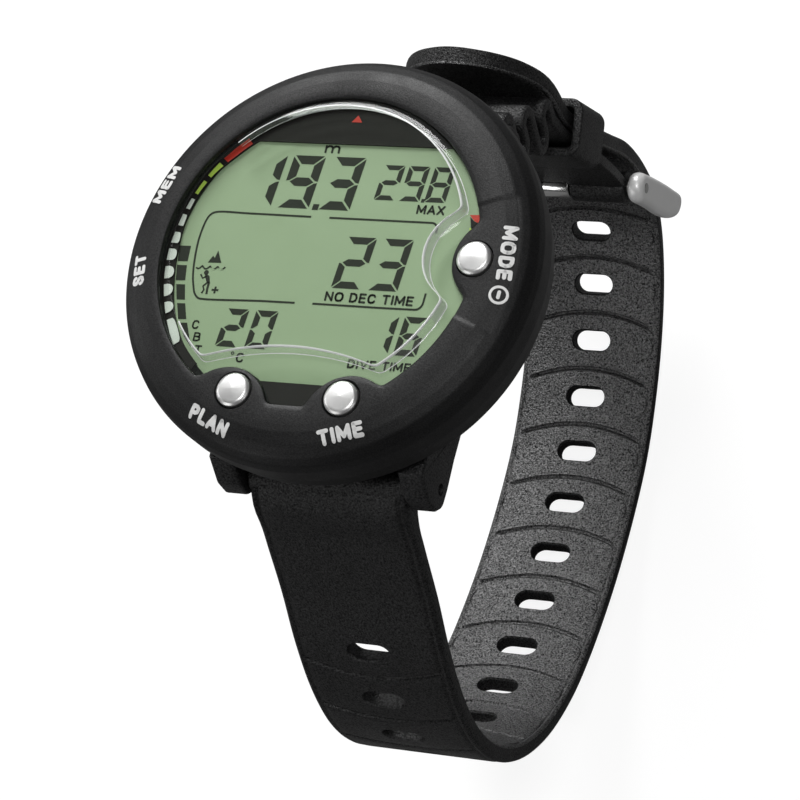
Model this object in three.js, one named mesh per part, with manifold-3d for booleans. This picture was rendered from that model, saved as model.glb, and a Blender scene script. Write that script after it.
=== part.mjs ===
// Wrist dive computer: a round sealed case in an elastomer boot, three push buttons,
// a segment display under a clear window, and a buckled two-piece strap.
//
// Millimetres. The origin is on the case axis at the back face. +Z points out of the
// display, +Y to the 12 o'clock strap lugs and +X to 3 o'clock.

import * as THREE from 'three';
import { mergeVertices } from 'three/addons/utils/BufferGeometryUtils.js';
import Module from 'manifold-3d';

const wasm = await Module();
wasm.setup();

// ---------------------------------------------------------------- driving dimensions

const SEGMENTS = { large: 48, medium: 32, small: 20, tiny: 12 };
const GAP = 0.3; // running clearance between neighbouring pieces

// Levels of the case stack, measured from the back face.
const LEVEL = {
  coverInside: 2.3,
  recessRoof: 2.6,
  lowerFloor: 4.4,
  wellRoof: 9.0,
  upperFloor: 10.4,
  boardBottom: 12.4,
  boardTop: 13.6,
  bossBottom: 16.2,
  ledgeBottom: 22.6,
  ledgeTop: 24.4,
  windowBase: 25.0,
  flangeTop: 25.6,
  bootLip: 26.6,
  windowTop: 28.2,
};

// Radii about the case axis.
const BOOT = { radius: 33.1, inside: 29.8, bottom: 13.0, ridge: 31.8, ridgeLevel: 25.0 };
const CASE = { wall: 29.4, bottom: 23.2, cavity: 27.0, lowerCavity: 22.4, ledge: 24.8 };
const WELL = { inside: 13.2, outside: 14.6 };
const OPENING = { radius: 25.2, shift: -0.6, lowest: -24.2 };
const WINDOW_FLANGE = 26.8;
const PUCK = { radius: 23.5, modeScallop: 6.6, lowerCut: 45, lowerEdge: -16.2 };

// Push buttons, on one circle about the case axis.
const BUTTON = {
  circle: 24.2,
  cap: 2.65,
  capTop: 27.3,
  stem: 1.2,
  stemBottom: 15.0,
  boss: 4.3,
  bootBoss: 5.2,
  travel: 0.9,
};
const BUTTON_ANGLES = { mode: 0.7, time: -69.1, plan: -110.9 };

// Strap lugs and spring bars: y and z of the 12 o'clock bar; the 6 o'clock bar mirrors it.
const BAR = { y: 27.7, z: 4.9, radius: 0.9, tip: 0.65, tipReach: 16.6 };
const LUG = { inner: 13.4, outer: 17.5, top: 12.7, recess: 24.3, recessTop: 9.2 };

const STRAP = { halfWidth: 13.0, longThickness: 2.8, shortThickness: 2.0, tipLength: 19.0 };
const SLOT = { length: 7.2, width: 3.6, pitch: 10.66, towardsTip: 2, towardsLug: 16 };
const KEEPER = { y: 49.0, z: -30.9, angle: -74.3, width: 11.5, wall: 1.6, inward: 3.2, outward: 3.45 };
const BUCKLE = { y: 52.2, z: -57.5, angle: -71.2, reach: 19.9, armInner: 13.35, armOuter: 16.3 };
const KNUCKLE = 2.75;

// Middle line of the long strap, as y and z of points from the 6 o'clock bar, round the
// wrist and out through the buckle and keeper to the free tip.
const LONG_STRAP_LINE = [
  [-27.7, 4.9],
  [-31.0, 2.4],
  [-34.7, -3.9],
  [-39.7, -13.1],
  [-45.4, -22.4],
  [-50.0, -32.0],
  [-52.6, -41.5],
  [-52.6, -51.5],
  [-49.6, -61.8],
  [-43.4, -71.6],
  [-34.6, -79.5],
  [-25.0, -84.8],
  [-10.0, -90.2],
  [5.2, -93.3],
  [16.0, -94.0],
  [26.2, -92.6],
  [36.4, -89.6],
  [45.9, -84.8],
  [53.6, -78.0],
  [57.6, -70.2],
  [58.5, -62.0],
  [57.6, -53.5],
  [55.0, -45.3],
  [52.6, -37.9],
  [50.55, -30.5],
  [48.9, -24.6],
  [49.1, -19.5],
  [49.6, -14.5],
  [49.0, -8.5],
  [47.3, -0.5],
];

// The slot that the tongue holds lies nearest to this point of the long strap.
const HELD_SLOT = [58.0, -68.5];

// ---------------------------------------------------------------- materials

function finish(color, roughness, metalness = 0) {
  return new THREE.MeshStandardMaterial({ color, roughness, metalness });
}

const MATERIALS = {
  boot: finish(0x4c4d4f, 0.62),
  strap: finish(0x2b2b2d, 0.7),
  casePlastic: finish(0x3a3b3d, 0.75),
  clearWindow: finish(0xe8eee8, 0.05),
  display: finish(0x92a786, 0.35),
  mask: finish(0x19120f, 0.4),
  steel: finish(0xc9c9c7, 0.28, 1),
  springSteel: finish(0x9c9c9a, 0.4, 1),
  seal: finish(0x151515, 0.6),
  board: finish(0x1f5b36, 0.5),
  chip: finish(0x1a1a1c, 0.5),
  brass: finish(0xb7995a, 0.35, 1),
  whitePlastic: finish(0xdedcd4, 0.5),
};

// ---------------------------------------------------------------- geometry helpers

const WELD_TOLERANCE = 1e-4;
const DEGREE = Math.PI / 180;

function signedVolume(geometry) {
  const position = geometry.attributes.position;
  const corners = geometry.index.array;
  const [a, b, c] = [new THREE.Vector3(), new THREE.Vector3(), new THREE.Vector3()];
  let sum = 0;
  for (let i = 0; i < corners.length; i += 3) {
    a.fromBufferAttribute(position, corners[i]);
    b.fromBufferAttribute(position, corners[i + 1]);
    c.fromBufferAttribute(position, corners[i + 2]);
    sum += a.dot(b.cross(c)) / 6;
  }
  return sum;
}

// One closed skin: shared vertices merged, empty triangles dropped, faces turned outwards.
function weld(geometry) {
  const bare = geometry.index ? geometry.toNonIndexed() : geometry.clone();
  bare.deleteAttribute('normal');
  bare.deleteAttribute('uv');
  const merged = mergeVertices(bare, WELD_TOLERANCE);
  const corners = merged.index.array;
  const kept = [];
  for (let i = 0; i < corners.length; i += 3) {
    const [a, b, c] = [corners[i], corners[i + 1], corners[i + 2]];
    if (a !== b && b !== c && c !== a) kept.push(a, b, c);
  }
  merged.setIndex(kept);
  if (signedVolume(merged) < 0) {
    merged.setIndex(kept.reverse());
  }
  return merged;
}

function solidOf(geometry) {
  return new wasm.Manifold(
    new wasm.Mesh({
      numProp: 3,
      vertProperties: Float32Array.from(geometry.attributes.position.array),
      triVerts: Uint32Array.from(geometry.index.array),
    }),
  );
}

function geometryOf(solid) {
  const mesh = solid.getMesh();
  const geometry = new THREE.BufferGeometry();
  geometry.setAttribute('position', new THREE.BufferAttribute(mesh.vertProperties, 3));
  geometry.setIndex(new THREE.BufferAttribute(mesh.triVerts, 1));
  return geometry;
}

function join(...geometries) {
  return geometryOf(geometries.map(solidOf).reduce((sum, next) => sum.add(next)));
}

function cut(base, ...tools) {
  return geometryOf(tools.map(solidOf).reduce((rest, tool) => rest.subtract(tool), solidOf(base)));
}

function common(a, b) {
  return geometryOf(solidOf(a).intersect(solidOf(b)));
}

// Solid of revolution about Z from [radius, level] points.
function turned(profile, segments = SEGMENTS.large) {
  const points = profile.map(([radius, level]) => new THREE.Vector2(radius, level));
  return weld(new THREE.LatheGeometry(points, segments)).rotateX(Math.PI / 2);
}

// The same for a ring whose section doesn't reach the axis.
function turnedRing(profile, segments = SEGMENTS.large) {
  return turned([...profile, profile[0]], segments);
}

function tube(inside, outside, low, high, segments = SEGMENTS.large) {
  return turnedRing([[inside, low], [outside, low], [outside, high], [inside, high]], segments);
}

// Upright cylinder with its axis at x, y.
function post(radius, low, high, x = 0, y = 0, segments = SEGMENTS.small) {
  const geometry = new THREE.CylinderGeometry(radius, radius, high - low, segments);
  return weld(geometry).rotateX(Math.PI / 2).translate(x, y, (low + high) / 2);
}

// Cylinder along X.
function rod(radius, left, right, y = 0, z = 0, segments = SEGMENTS.small) {
  const geometry = new THREE.CylinderGeometry(radius, radius, right - left, segments);
  return weld(geometry).rotateZ(Math.PI / 2).translate((left + right) / 2, y, z);
}

function block(left, right, front, back, low, high) {
  const geometry = new THREE.BoxGeometry(right - left, back - front, high - low);
  return weld(geometry).translate((left + right) / 2, (front + back) / 2, (low + high) / 2);
}

function sealRing(major, minor, level, x = 0, y = 0, segments = SEGMENTS.small) {
  return weld(new THREE.TorusGeometry(major, minor, 6, segments)).translate(x, y, level);
}

// A shape drawn in the y, z plane and extruded along X.
function sideProfile(shape, left, right, curveSegments = 8) {
  const options = { depth: right - left, bevelEnabled: false, curveSegments };
  const turn = new THREE.Matrix4().makeBasis(
    new THREE.Vector3(0, 1, 0),
    new THREE.Vector3(0, 0, 1),
    new THREE.Vector3(1, 0, 0),
  );
  return weld(new THREE.ExtrudeGeometry(shape, options)).applyMatrix4(turn).translate(left, 0, 0);
}

function polygon(points) {
  return new THREE.Shape(points.map(([x, y]) => new THREE.Vector2(x, y)));
}

function onCircle(radius, degrees) {
  return [radius * Math.cos(degrees * DEGREE), radius * Math.sin(degrees * DEGREE)];
}

const BUTTON_PLACES = Object.fromEntries(
  Object.entries(BUTTON_ANGLES).map(([name, angle]) => [name, onCircle(BUTTON.circle, angle)]),
);

function cutAroundButtons(base, radius, low, high) {
  const tools = Object.values(BUTTON_PLACES).map(([x, y]) => post(radius, low, high, x, y, SEGMENTS.medium));
  return cut(base, ...tools);
}

// The outline of the display opening, grown or shrunk, as a plate between two levels.
function openingPlate(grow, low, high, bossRadius) {
  const disc = post(OPENING.radius + grow, low, high, OPENING.shift, 0, SEGMENTS.large);
  const reach = BOOT.radius;
  const below = block(-reach, reach, -reach, OPENING.lowest - grow, low - 1, high + 1);
  return cutAroundButtons(cut(disc, below), bossRadius, low - 1, high + 1);
}

// ---------------------------------------------------------------- strap lines

// Evenly sampled line in the y, z plane: points with unit tangents and running length.
function sampled(points) {
  let length = 0;
  return points.map((point, i) => {
    const before = points[Math.max(i - 1, 0)];
    const after = points[Math.min(i + 1, points.length - 1)];
    if (i > 0) length += point.distanceTo(before);
    return { point, tangent: after.clone().sub(before).normalize(), length };
  });
}

const LONG_STRAP_STATIONS = 84;

function longStrapLine() {
  const knots = LONG_STRAP_LINE.map(([y, z]) => new THREE.Vector3(0, y, z));
  const curve = new THREE.CatmullRomCurve3(knots, false, 'centripetal');
  const points = curve.getSpacedPoints(LONG_STRAP_STATIONS);
  return sampled(points.map((p) => new THREE.Vector2(p.y, p.z)));
}

// Walks from a start point: each step goes ahead or turns on an arc (left is positive).
function walk(start, heading, steps) {
  const points = [new THREE.Vector2(...start)];
  let angle = heading * DEGREE;
  const advance = (distance) => {
    const step = new THREE.Vector2(Math.cos(angle), Math.sin(angle)).multiplyScalar(distance);
    points.push(points[points.length - 1].clone().add(step));
  };
  for (const step of steps) {
    if (step.ahead) {
      advance(step.ahead);
      continue;
    }
    const pieces = Math.ceil(Math.abs(step.turn) / 22);
    const part = (step.turn * DEGREE) / pieces;
    for (let i = 0; i < pieces; i += 1) {
      angle += part / 2;
      advance(2 * step.radius * Math.sin(Math.abs(part) / 2));
      angle += part / 2;
    }
  }
  return points;
}

// The short strap leaves the 12 o'clock bar, folds three times as a bellows, then runs
// through the keeper to the buckle knuckle.
const FOLD = { radius: 1.85, down: 6.2, up: 1.8 };
const SHORT_STRAP_END = [
  [46.1, -25.4],
  [47.45, -31.4],
  [49.0, -37.1],
  [50.9, -46.0],
  [51.8, -52.0],
  [BUCKLE.y, BUCKLE.z],
];

function shortStrapLine() {
  const bend = { turn: -180, radius: FOLD.radius };
  const fold = [bend, { ahead: FOLD.down }, { turn: 180, radius: FOLD.radius }, { ahead: FOLD.up }];
  const lead = [{ ahead: 7.5 }, { turn: 145.7, radius: 1.6 }, { ahead: 2.4 }];
  const bellows = walk([BAR.y, BAR.z], -80, [...lead, ...fold, ...fold, bend, { ahead: 2.2 }]);
  const last = bellows[bellows.length - 1];
  const end = SHORT_STRAP_END.map(([y, z]) => new THREE.Vector2(y, z));
  const knots = [bellows[bellows.length - 2], last, ...end];
  const run = new THREE.SplineCurve(knots).getPoints(35).filter((point) => point.y < last.y - 0.5);
  return sampled([...bellows, ...run]);
}

// Ribbon across the strap's width with the given middle line.
function ribbon(line, thickness) {
  const offset = (sign) => ({ point, tangent }) =>
    point.clone().add(new THREE.Vector2(tangent.y, -tangent.x).multiplyScalar((sign * thickness) / 2));
  const outer = line.map(offset(1));
  const inner = line.map(offset(-1)).reverse();
  return sideProfile(new THREE.Shape([...outer, ...inner]), -STRAP.halfWidth, STRAP.halfWidth);
}

function stationAt(line, length) {
  const index = line.findIndex((station) => station.length >= length);
  const [a, b] = [line[index - 1], line[index]];
  const share = (length - a.length) / (b.length - a.length);
  return { point: a.point.clone().lerp(b.point, share), tangent: a.tangent.clone().lerp(b.tangent, share) };
}

// Length along the line at which it passes nearest to a point.
function nearestLength(line, [y, z]) {
  const target = new THREE.Vector2(y, z);
  const gap = (length) => stationAt(line, length).point.distanceTo(target);
  let best = 0.1;
  for (let length = 0.1; length < line[line.length - 1].length; length += 0.1) {
    if (gap(length) < gap(best)) best = length;
  }
  return best;
}

// A round-ended slot tool across the strap at a station.
function slotTool({ point, tangent }) {
  const half = (SLOT.length - SLOT.width) / 2;
  const radius = SLOT.width / 2;
  const shape = new THREE.Shape();
  shape.absarc(half, 0, radius, -Math.PI / 2, Math.PI / 2);
  shape.absarc(-half, 0, radius, Math.PI / 2, (3 * Math.PI) / 2);
  const depth = 3 * STRAP.longThickness;
  const geometry = weld(new THREE.ExtrudeGeometry(shape, { depth, bevelEnabled: false, curveSegments: 4 }));
  const along = new THREE.Vector3(0, tangent.x, tangent.y).normalize();
  const across = new THREE.Vector3(1, 0, 0);
  const place = new THREE.Matrix4().makeBasis(across, along, across.clone().cross(along));
  place.setPosition(0, point.x, point.y);
  return geometry.translate(0, 0, -depth / 2).applyMatrix4(place);
}

// ---------------------------------------------------------------- case and boot

function lugPair(sign) {
  const outline = polygon([
    [10, 1.0],
    [17, 1.3],
    [22, 2.0],
    [26.8, 2.2],
    [29.6, 2.6],
    [31.0, 4.4],
    [30.9, 8.0],
    [28.6, LUG.top],
    [10, LUG.top],
  ]);
  const lug = sideProfile(outline, LUG.inner, LUG.outer);
  const barHole = rod(BAR.tip + 0.2, LUG.inner - 1, LUG.outer + 1, BAR.y, BAR.z);
  const upperRoom = post(CASE.cavity, LEVEL.upperFloor, 40, 0, 0, SEGMENTS.large);
  const lowerRoom = post(CASE.lowerCavity, LEVEL.lowerFloor, LEVEL.upperFloor + 1, 0, 0, SEGMENTS.large);
  const drilled = cut(lug, barHole, upperRoom, lowerRoom);
  const both = [drilled, weld(drilled.clone().scale(-1, 1, 1))];
  if (sign < 0) both.forEach((geometry) => geometry.rotateZ(Math.PI));
  return both;
}

const BOARD_POSTS = [onCircle(21.0, 45), onCircle(21.0, 150), onCircle(21.0, -42)];
const SENSOR = { place: onCircle(19.3, 200), radius: 2.8, port: 0.8 };
const WATER_CONTACT = { place: onCircle(20.4, 168), radius: 1.5 };
const CONTACT_SLOTS = { positive: [12.75, 0], negative: [-11.4, 0] };

function caseBody() {
  const shell = turned([
    [0, 0],
    [CASE.bottom - 1.2, 0],
    [CASE.bottom, 0.7],
    [CASE.bottom + 3.6, 5.6],
    [CASE.wall - 0.4, 10.2],
    [CASE.wall + 1.1, 11.6],
    [CASE.wall + 1.1, LUG.top],
    [CASE.wall, LUG.top],
    [CASE.wall, LEVEL.windowBase - 1.1],
    [CASE.wall - 1.1, LEVEL.windowBase],
    [WINDOW_FLANGE + GAP, LEVEL.windowBase],
    [WINDOW_FLANGE + GAP, LEVEL.ledgeTop],
    [CASE.ledge, LEVEL.ledgeTop],
    [CASE.ledge, LEVEL.ledgeBottom],
    [CASE.cavity, LEVEL.ledgeBottom],
    [CASE.cavity, LEVEL.upperFloor],
    [CASE.lowerCavity, LEVEL.upperFloor],
    [CASE.lowerCavity, LEVEL.lowerFloor],
    [WELL.outside, LEVEL.lowerFloor],
    [WELL.outside, LEVEL.upperFloor],
    [0, LEVEL.upperFloor],
  ]);
  const recess = (sign) => {
    const [near, far] = sign > 0 ? [LUG.recess, 40] : [-40, -LUG.recess];
    return block(-LUG.inner, LUG.inner, near, far, -1, LUG.recessTop);
  };
  const batteryWell = turned([
    [0, -1],
    [18.0, -1],
    [18.0, LEVEL.recessRoof],
    [WELL.inside + 0.5, LEVEL.recessRoof],
    [WELL.inside, LEVEL.recessRoof + 0.8],
    [WELL.inside, LEVEL.wellRoof],
    [0, LEVEL.wellRoof],
  ]);
  const withinWall = post(WINDOW_FLANGE + 0.5, 0, 40, 0, 0, SEGMENTS.large);
  const bosses = Object.values(BUTTON_PLACES).map(([x, y]) =>
    common(post(BUTTON.boss, LEVEL.bossBottom, LEVEL.flangeTop - 0.1, x, y, SEGMENTS.medium), withinWall),
  );
  const postTop = LEVEL.boardBottom - 0.05;
  const posts = BOARD_POSTS.map(([x, y]) => post(2.2, LEVEL.lowerFloor - 0.5, postTop, x, y));
  const bores = Object.values(BUTTON_PLACES).flatMap(([x, y]) => [
    post(BUTTON.cap + GAP, 21.6, 40, x, y),
    post(BUTTON.stem + 0.25, 19, 22, x, y),
    post(2.15, 10, 20, x, y),
  ]);
  const screwHoles = BOARD_POSTS.map(([x, y]) => post(1.0, 6.0, 20, x, y, SEGMENTS.tiny));
  const ports = [
    post(SENSOR.port, -1, 6, ...SENSOR.place, SEGMENTS.tiny),
    post(WATER_CONTACT.radius - 0.6, -1, 6, ...WATER_CONTACT.place, SEGMENTS.tiny),
  ];
  const contactSlots = Object.values(CONTACT_SLOTS).map(([x, y]) =>
    block(x - 0.6, x + 0.6, y - 1.6, y + 1.6, LEVEL.wellRoof - 1, LEVEL.upperFloor + 1),
  );
  const open = cut(shell, recess(1), recess(-1));
  const built = join(open, ...lugPair(1), ...lugPair(-1), ...bosses, ...posts);
  return cut(built, batteryWell, ...bores, ...screwHoles, ...ports, ...contactSlots);
}

function protectiveBoot() {
  const skin = turnedRing([
    [BOOT.inside, BOOT.bottom],
    [BOOT.radius - 2.1, BOOT.bottom],
    [BOOT.radius - 1.0, BOOT.bottom + 1.8],
    [BOOT.radius - 0.2, BOOT.bottom + 5.4],
    [BOOT.radius, BOOT.bottom + 9.6],
    [BOOT.radius - 0.4, BOOT.ridgeLevel - 1.2],
    [BOOT.ridge, BOOT.ridgeLevel],
    [BOOT.ridge - 1.6, BOOT.ridgeLevel + 1.0],
    [BOOT.ridge - 3.4, LEVEL.bootLip - 0.1],
    [OPENING.radius + 1.0, LEVEL.bootLip],
    [17, LEVEL.bootLip],
    [17, LEVEL.flangeTop + 0.1],
    [WINDOW_FLANGE + 0.2, LEVEL.flangeTop + 0.1],
    [CASE.wall - 0.9, LEVEL.flangeTop - 0.25],
    [BOOT.inside, LEVEL.windowBase - 0.7],
  ]);
  const opened = cut(skin, openingPlate(0, LEVEL.ledgeTop, 40, BUTTON.bootBoss));
  return cutAroundButtons(opened, BUTTON.cap + GAP, 20, 40);
}

function displayWindow() {
  const flange = openingPlate(0.9, LEVEL.windowBase, LEVEL.flangeTop, BUTTON.boss + GAP);
  const disc = post(PUCK.radius, LEVEL.flangeTop - 0.2, LEVEL.windowTop, OPENING.shift, 0.3, SEGMENTS.large);
  const cutCentre = PUCK.lowerEdge - PUCK.lowerCut;
  const lower = post(PUCK.lowerCut, 20, 40, 0, cutCentre, 3 * SEGMENTS.large);
  const scallop = post(PUCK.modeScallop, 20, 40, ...BUTTON_PLACES.mode, SEGMENTS.medium);
  return join(flange, cut(disc, lower, scallop));
}

function windowGasket() {
  const outer = openingPlate(0.9, LEVEL.ledgeTop + 0.05, LEVEL.windowBase - 0.05, BUTTON.boss + GAP);
  return cut(outer, openingPlate(-0.1, LEVEL.ledgeTop - 1, 40, BUTTON.boss + GAP + 0.7));
}

// ---------------------------------------------------------------- display stack

function lcdPanel() {
  return openingPlate(-1.4, 22.9, LEVEL.ledgeTop, BUTTON.boss + 1.3);
}

// Printed mask: a lower strip, an upper segment, the scale strip and a thin rim.
const VIEW = { top: 18.4, bottom: -20.2, radius: 22.8, shift: 0.4, aroundButtons: 6.1 };

function dialMask() {
  const plate = openingPlate(-0.9, LEVEL.ledgeTop + 0.1, LEVEL.ledgeTop + 0.4, BUTTON.boss + 1.3);
  const band = block(-30, 30, VIEW.bottom, VIEW.top, 20, 30);
  const disc = post(VIEW.radius, 20, 30, VIEW.shift, 0, SEGMENTS.large);
  return cut(plate, cutAroundButtons(common(band, disc), VIEW.aroundButtons, 19, 31));
}

function lcdCarrier() {
  return tube(17.0, 19.4, LEVEL.boardTop + 1.3, 21.9);
}

function backlightPanel() {
  return post(19.2, 22.0, 22.7, 0, 0, SEGMENTS.large);
}

function connectorStrip() {
  return block(-9, 9, -1.0, 1.0, LEVEL.boardTop + 0.05, 21.8);
}

// ---------------------------------------------------------------- electronics

function circuitBoard() {
  const disc = post(25.6, LEVEL.boardBottom, LEVEL.boardTop, 0, 0, SEGMENTS.large);
  return cut(disc, ...BOARD_POSTS.map(([x, y]) => post(1.1, 10, 20, x, y, SEGMENTS.tiny)));
}

function processorChip() {
  return block(-4.5, 4.5, -4.5, 4.5, LEVEL.boardTop + 0.05, LEVEL.boardTop + 1.25);
}

function boardScrew([x, y]) {
  const profile = [
    [0, 7.6],
    [0.8, 7.9],
    [0.8, 13.65],
    [1.9, 13.65],
    [1.9, 14.4],
    [1.4, 14.8],
    [0, 14.8],
  ];
  return turned(profile, SEGMENTS.tiny).translate(x, y, 0);
}

function pressureSensor() {
  const bottom = LEVEL.lowerFloor + 0.8;
  const profile = [
    [0, bottom],
    [SENSOR.radius, bottom],
    [SENSOR.radius, 8.4],
    [2.2, 9.0],
    [0, 9.0],
  ];
  return turned(profile, SEGMENTS.small).translate(...SENSOR.place, 0);
}

function sensorSeal() {
  return sealRing(2.1, 0.35, LEVEL.lowerFloor + 0.38, ...SENSOR.place);
}

function waterContact() {
  const radius = WATER_CONTACT.radius;
  const profile = [
    [0, 0.3],
    [radius - 0.85, 0.3],
    [radius - 0.85, 4.5],
    [radius, 4.5],
    [radius, 5.4],
    [0.5, 5.4],
    [0.5, 12.3],
    [0, 12.3],
  ];
  return turned(profile, SEGMENTS.tiny).translate(...WATER_CONTACT.place, 0);
}

function piezoBuzzer() {
  const profile = [
    [0, 10.5],
    [10, 10.5],
    [10, 10.8],
    [7, 10.8],
    [7, 11.2],
    [0, 11.2],
  ];
  return turned(profile, SEGMENTS.medium);
}

function battery() {
  const [low, high] = [3.35, 8.35];
  const profile = [
    [0, low],
    [12.05, low],
    [12.25, low + 0.2],
    [12.25, high - 0.7],
    [11.4, high - 0.6],
    [11.2, high],
    [0, high],
  ];
  return turned(profile, SEGMENTS.medium);
}

function contactNegative() {
  const [x, y] = CONTACT_SLOTS.negative;
  const leaf = post(7.0, 8.5, 8.8, -4.6, 0, SEGMENTS.small);
  return join(leaf, block(x - 0.25, x + 0.25, y - 1.2, y + 1.2, 8.5, 12.3));
}

function contactPositive() {
  const [x, y] = CONTACT_SLOTS.positive;
  return block(x - 0.15, x + 0.15, y - 1.2, y + 1.2, 3.6, 12.3);
}

// ---------------------------------------------------------------- battery cover

const COVER = { radius: 14.4, ringInside: 14.7, ringOutside: 17.7 };

function batteryCover() {
  const profile = [
    [0, 0],
    [11.0, 0],
    [11.4, 0.4],
    [12.2, 0.4],
    [12.6, 0],
    [COVER.radius - 0.4, 0],
    [COVER.radius, 0.4],
    [COVER.radius, LEVEL.coverInside],
    [11.9, LEVEL.coverInside],
    [11.9, 3.1],
    [0, 3.1],
  ];
  return turned(profile);
}

function coverSeal() {
  return sealRing(12.45, 0.45, 2.85, 0, 0, SEGMENTS.medium);
}

function lockRing() {
  const ring = tube(COVER.ringInside, COVER.ringOutside, 0, LEVEL.coverInside);
  const notches = [30, 150, 270].map((angle) => {
    const [x, y] = onCircle(COVER.ringOutside, angle);
    return post(1.5, -1, 1.2, x, y, SEGMENTS.tiny);
  });
  return cut(ring, ...notches);
}

// ---------------------------------------------------------------- buttons

function buttonAt([x, y]) {
  const { cap, capTop, stem, stemBottom } = BUTTON;
  const profile = [
    [0, stemBottom],
    [stem - 0.2, stemBottom],
    [stem, stemBottom + 0.2],
    [stem, 25.0],
    [cap, 25.0],
    [cap, capTop - 0.55],
    [cap - 0.25, capTop - 0.25],
    [cap - 0.9, capTop - 0.05],
    [0, capTop],
  ];
  return turned(profile, SEGMENTS.small).translate(x, y, 0);
}

function buttonSeal([x, y]) {
  return sealRing(1.64, 0.4, 18.9, x, y);
}

function buttonClip([x, y]) {
  return tube(BUTTON.stem + 0.05, 2.45, 15.65, 16.05, SEGMENTS.small).translate(x, y, 0);
}

function buttonSpring([x, y]) {
  const [low, high, radius, wire, turns] = [21.95, 24.7, 2.1, 0.28, 3.5];
  class Coil extends THREE.Curve {
    getPoint(t, target = new THREE.Vector3()) {
      const angle = 2 * Math.PI * turns * t;
      return target.set(radius * Math.cos(angle), radius * Math.sin(angle), low + (high - low) * t);
    }
  }
  const section = new THREE.Shape(onPolygon(wire, 5));
  const options = { steps: 42, extrudePath: new Coil(), bevelEnabled: false };
  return weld(new THREE.ExtrudeGeometry(section, options)).translate(x, y, 0);
}

function onPolygon(radius, sides) {
  return Array.from({ length: sides }, (_, i) => new THREE.Vector2(...onCircle(radius, (360 * i) / sides)));
}

function tactSwitch([x, y]) {
  const profile = [
    [0, 13.65],
    [2.0, 13.65],
    [2.0, 13.85],
    [1.2, 14.0],
    [0, 14.0],
  ];
  return turned(profile, SEGMENTS.tiny).translate(x, y, 0);
}

// ---------------------------------------------------------------- strap

function springBar(sign) {
  const { radius, tip, tipReach } = BAR;
  const shoulder = LUG.inner - 0.25;
  const [y, z] = [sign * BAR.y, BAR.z];
  return join(
    rod(radius, -shoulder, shoulder, y, z, SEGMENTS.tiny),
    rod(tip, -tipReach, tipReach, y, z, SEGMENTS.tiny),
  );
}

function longStrap() {
  const line = longStrapLine();
  const end = line[line.length - 1];
  const band = ribbon(line, STRAP.longThickness);
  const eye = rod(3.0, -STRAP.halfWidth, STRAP.halfWidth, -BAR.y, BAR.z);
  const held = nearestLength(line, HELD_SLOT);
  const slots = [];
  for (let i = -SLOT.towardsLug; i <= SLOT.towardsTip; i += 1) {
    slots.push(slotTool(stationAt(line, held + i * SLOT.pitch)));
  }
  const rounding = tipRounding(end);
  return cut(join(band, eye), rod(BAR.radius + 0.2, -20, 20, -BAR.y, BAR.z), rounding, ...slots);
}

// What is left of a square strap end outside its long rounded tip.
function tipRounding({ point, tangent }) {
  const half = STRAP.halfWidth;
  const start = -STRAP.tipLength;
  const shape = new THREE.Shape();
  shape.moveTo(-half - 1, start);
  shape.lineTo(-half - 1, 2);
  shape.lineTo(half + 1, 2);
  shape.lineTo(half + 1, start);
  shape.lineTo(half, start);
  shape.absellipse(0, start, half, STRAP.tipLength, 0, Math.PI, false, 0);
  const settings = { depth: 24, bevelEnabled: false, curveSegments: 14 };
  const geometry = weld(new THREE.ExtrudeGeometry(shape, settings));
  const along = new THREE.Vector3(0, tangent.x, tangent.y).normalize();
  const across = new THREE.Vector3(1, 0, 0);
  const place = new THREE.Matrix4().makeBasis(across, along, across.clone().cross(along));
  place.setPosition(0, point.x, point.y);
  return geometry.translate(0, 0, -12).applyMatrix4(place);
}

function shortStrap() {
  const line = shortStrapLine();
  const half = STRAP.halfWidth;
  const band = ribbon(line, STRAP.shortThickness);
  const eye = rod(2.8, -half, half, BAR.y, BAR.z);
  const knuckle = rod(KNUCKLE, -half + 0.1, half - 0.1, BUCKLE.y, BUCKLE.z);
  const tongueRoom = block(-2.8, 2.8, BUCKLE.y - 6, BUCKLE.y + 6, BUCKLE.z - 6, BUCKLE.z + 3.4);
  return cut(
    join(band, eye, knuckle),
    rod(BAR.radius + 0.2, -20, 20, BAR.y, BAR.z),
    rod(BAR.radius + 0.2, -20, 20, BUCKLE.y, BUCKLE.z),
    tongueRoom,
  );
}

// In the keeper's own frame the strap runs along Y and the wrist is at -Z.
function strapKeeper() {
  const halfInside = STRAP.halfWidth + 0.4;
  const { wall, inward, outward, width } = KEEPER;
  const outer = new THREE.Shape();
  roundedBox(outer, -halfInside - wall, -inward - wall, halfInside + wall, outward + wall, 2.2);
  const inner = new THREE.Path();
  roundedBox(inner, -halfInside, -inward, halfInside, outward, 0.8);
  outer.holes.push(inner);
  const options = { depth: width, bevelEnabled: false, curveSegments: 5 };
  return weld(new THREE.ExtrudeGeometry(outer, options)).rotateX(Math.PI / 2).translate(0, width / 2, 0);
}

function roundedBox(path, left, bottom, right, top, radius) {
  path.moveTo(left + radius, bottom);
  path.absarc(right - radius, bottom + radius, radius, -Math.PI / 2, 0);
  path.absarc(right - radius, top - radius, radius, 0, Math.PI / 2);
  path.absarc(left + radius, top - radius, radius, Math.PI / 2, Math.PI);
  path.absarc(left + radius, bottom + radius, radius, Math.PI, 1.5 * Math.PI);
}

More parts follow.
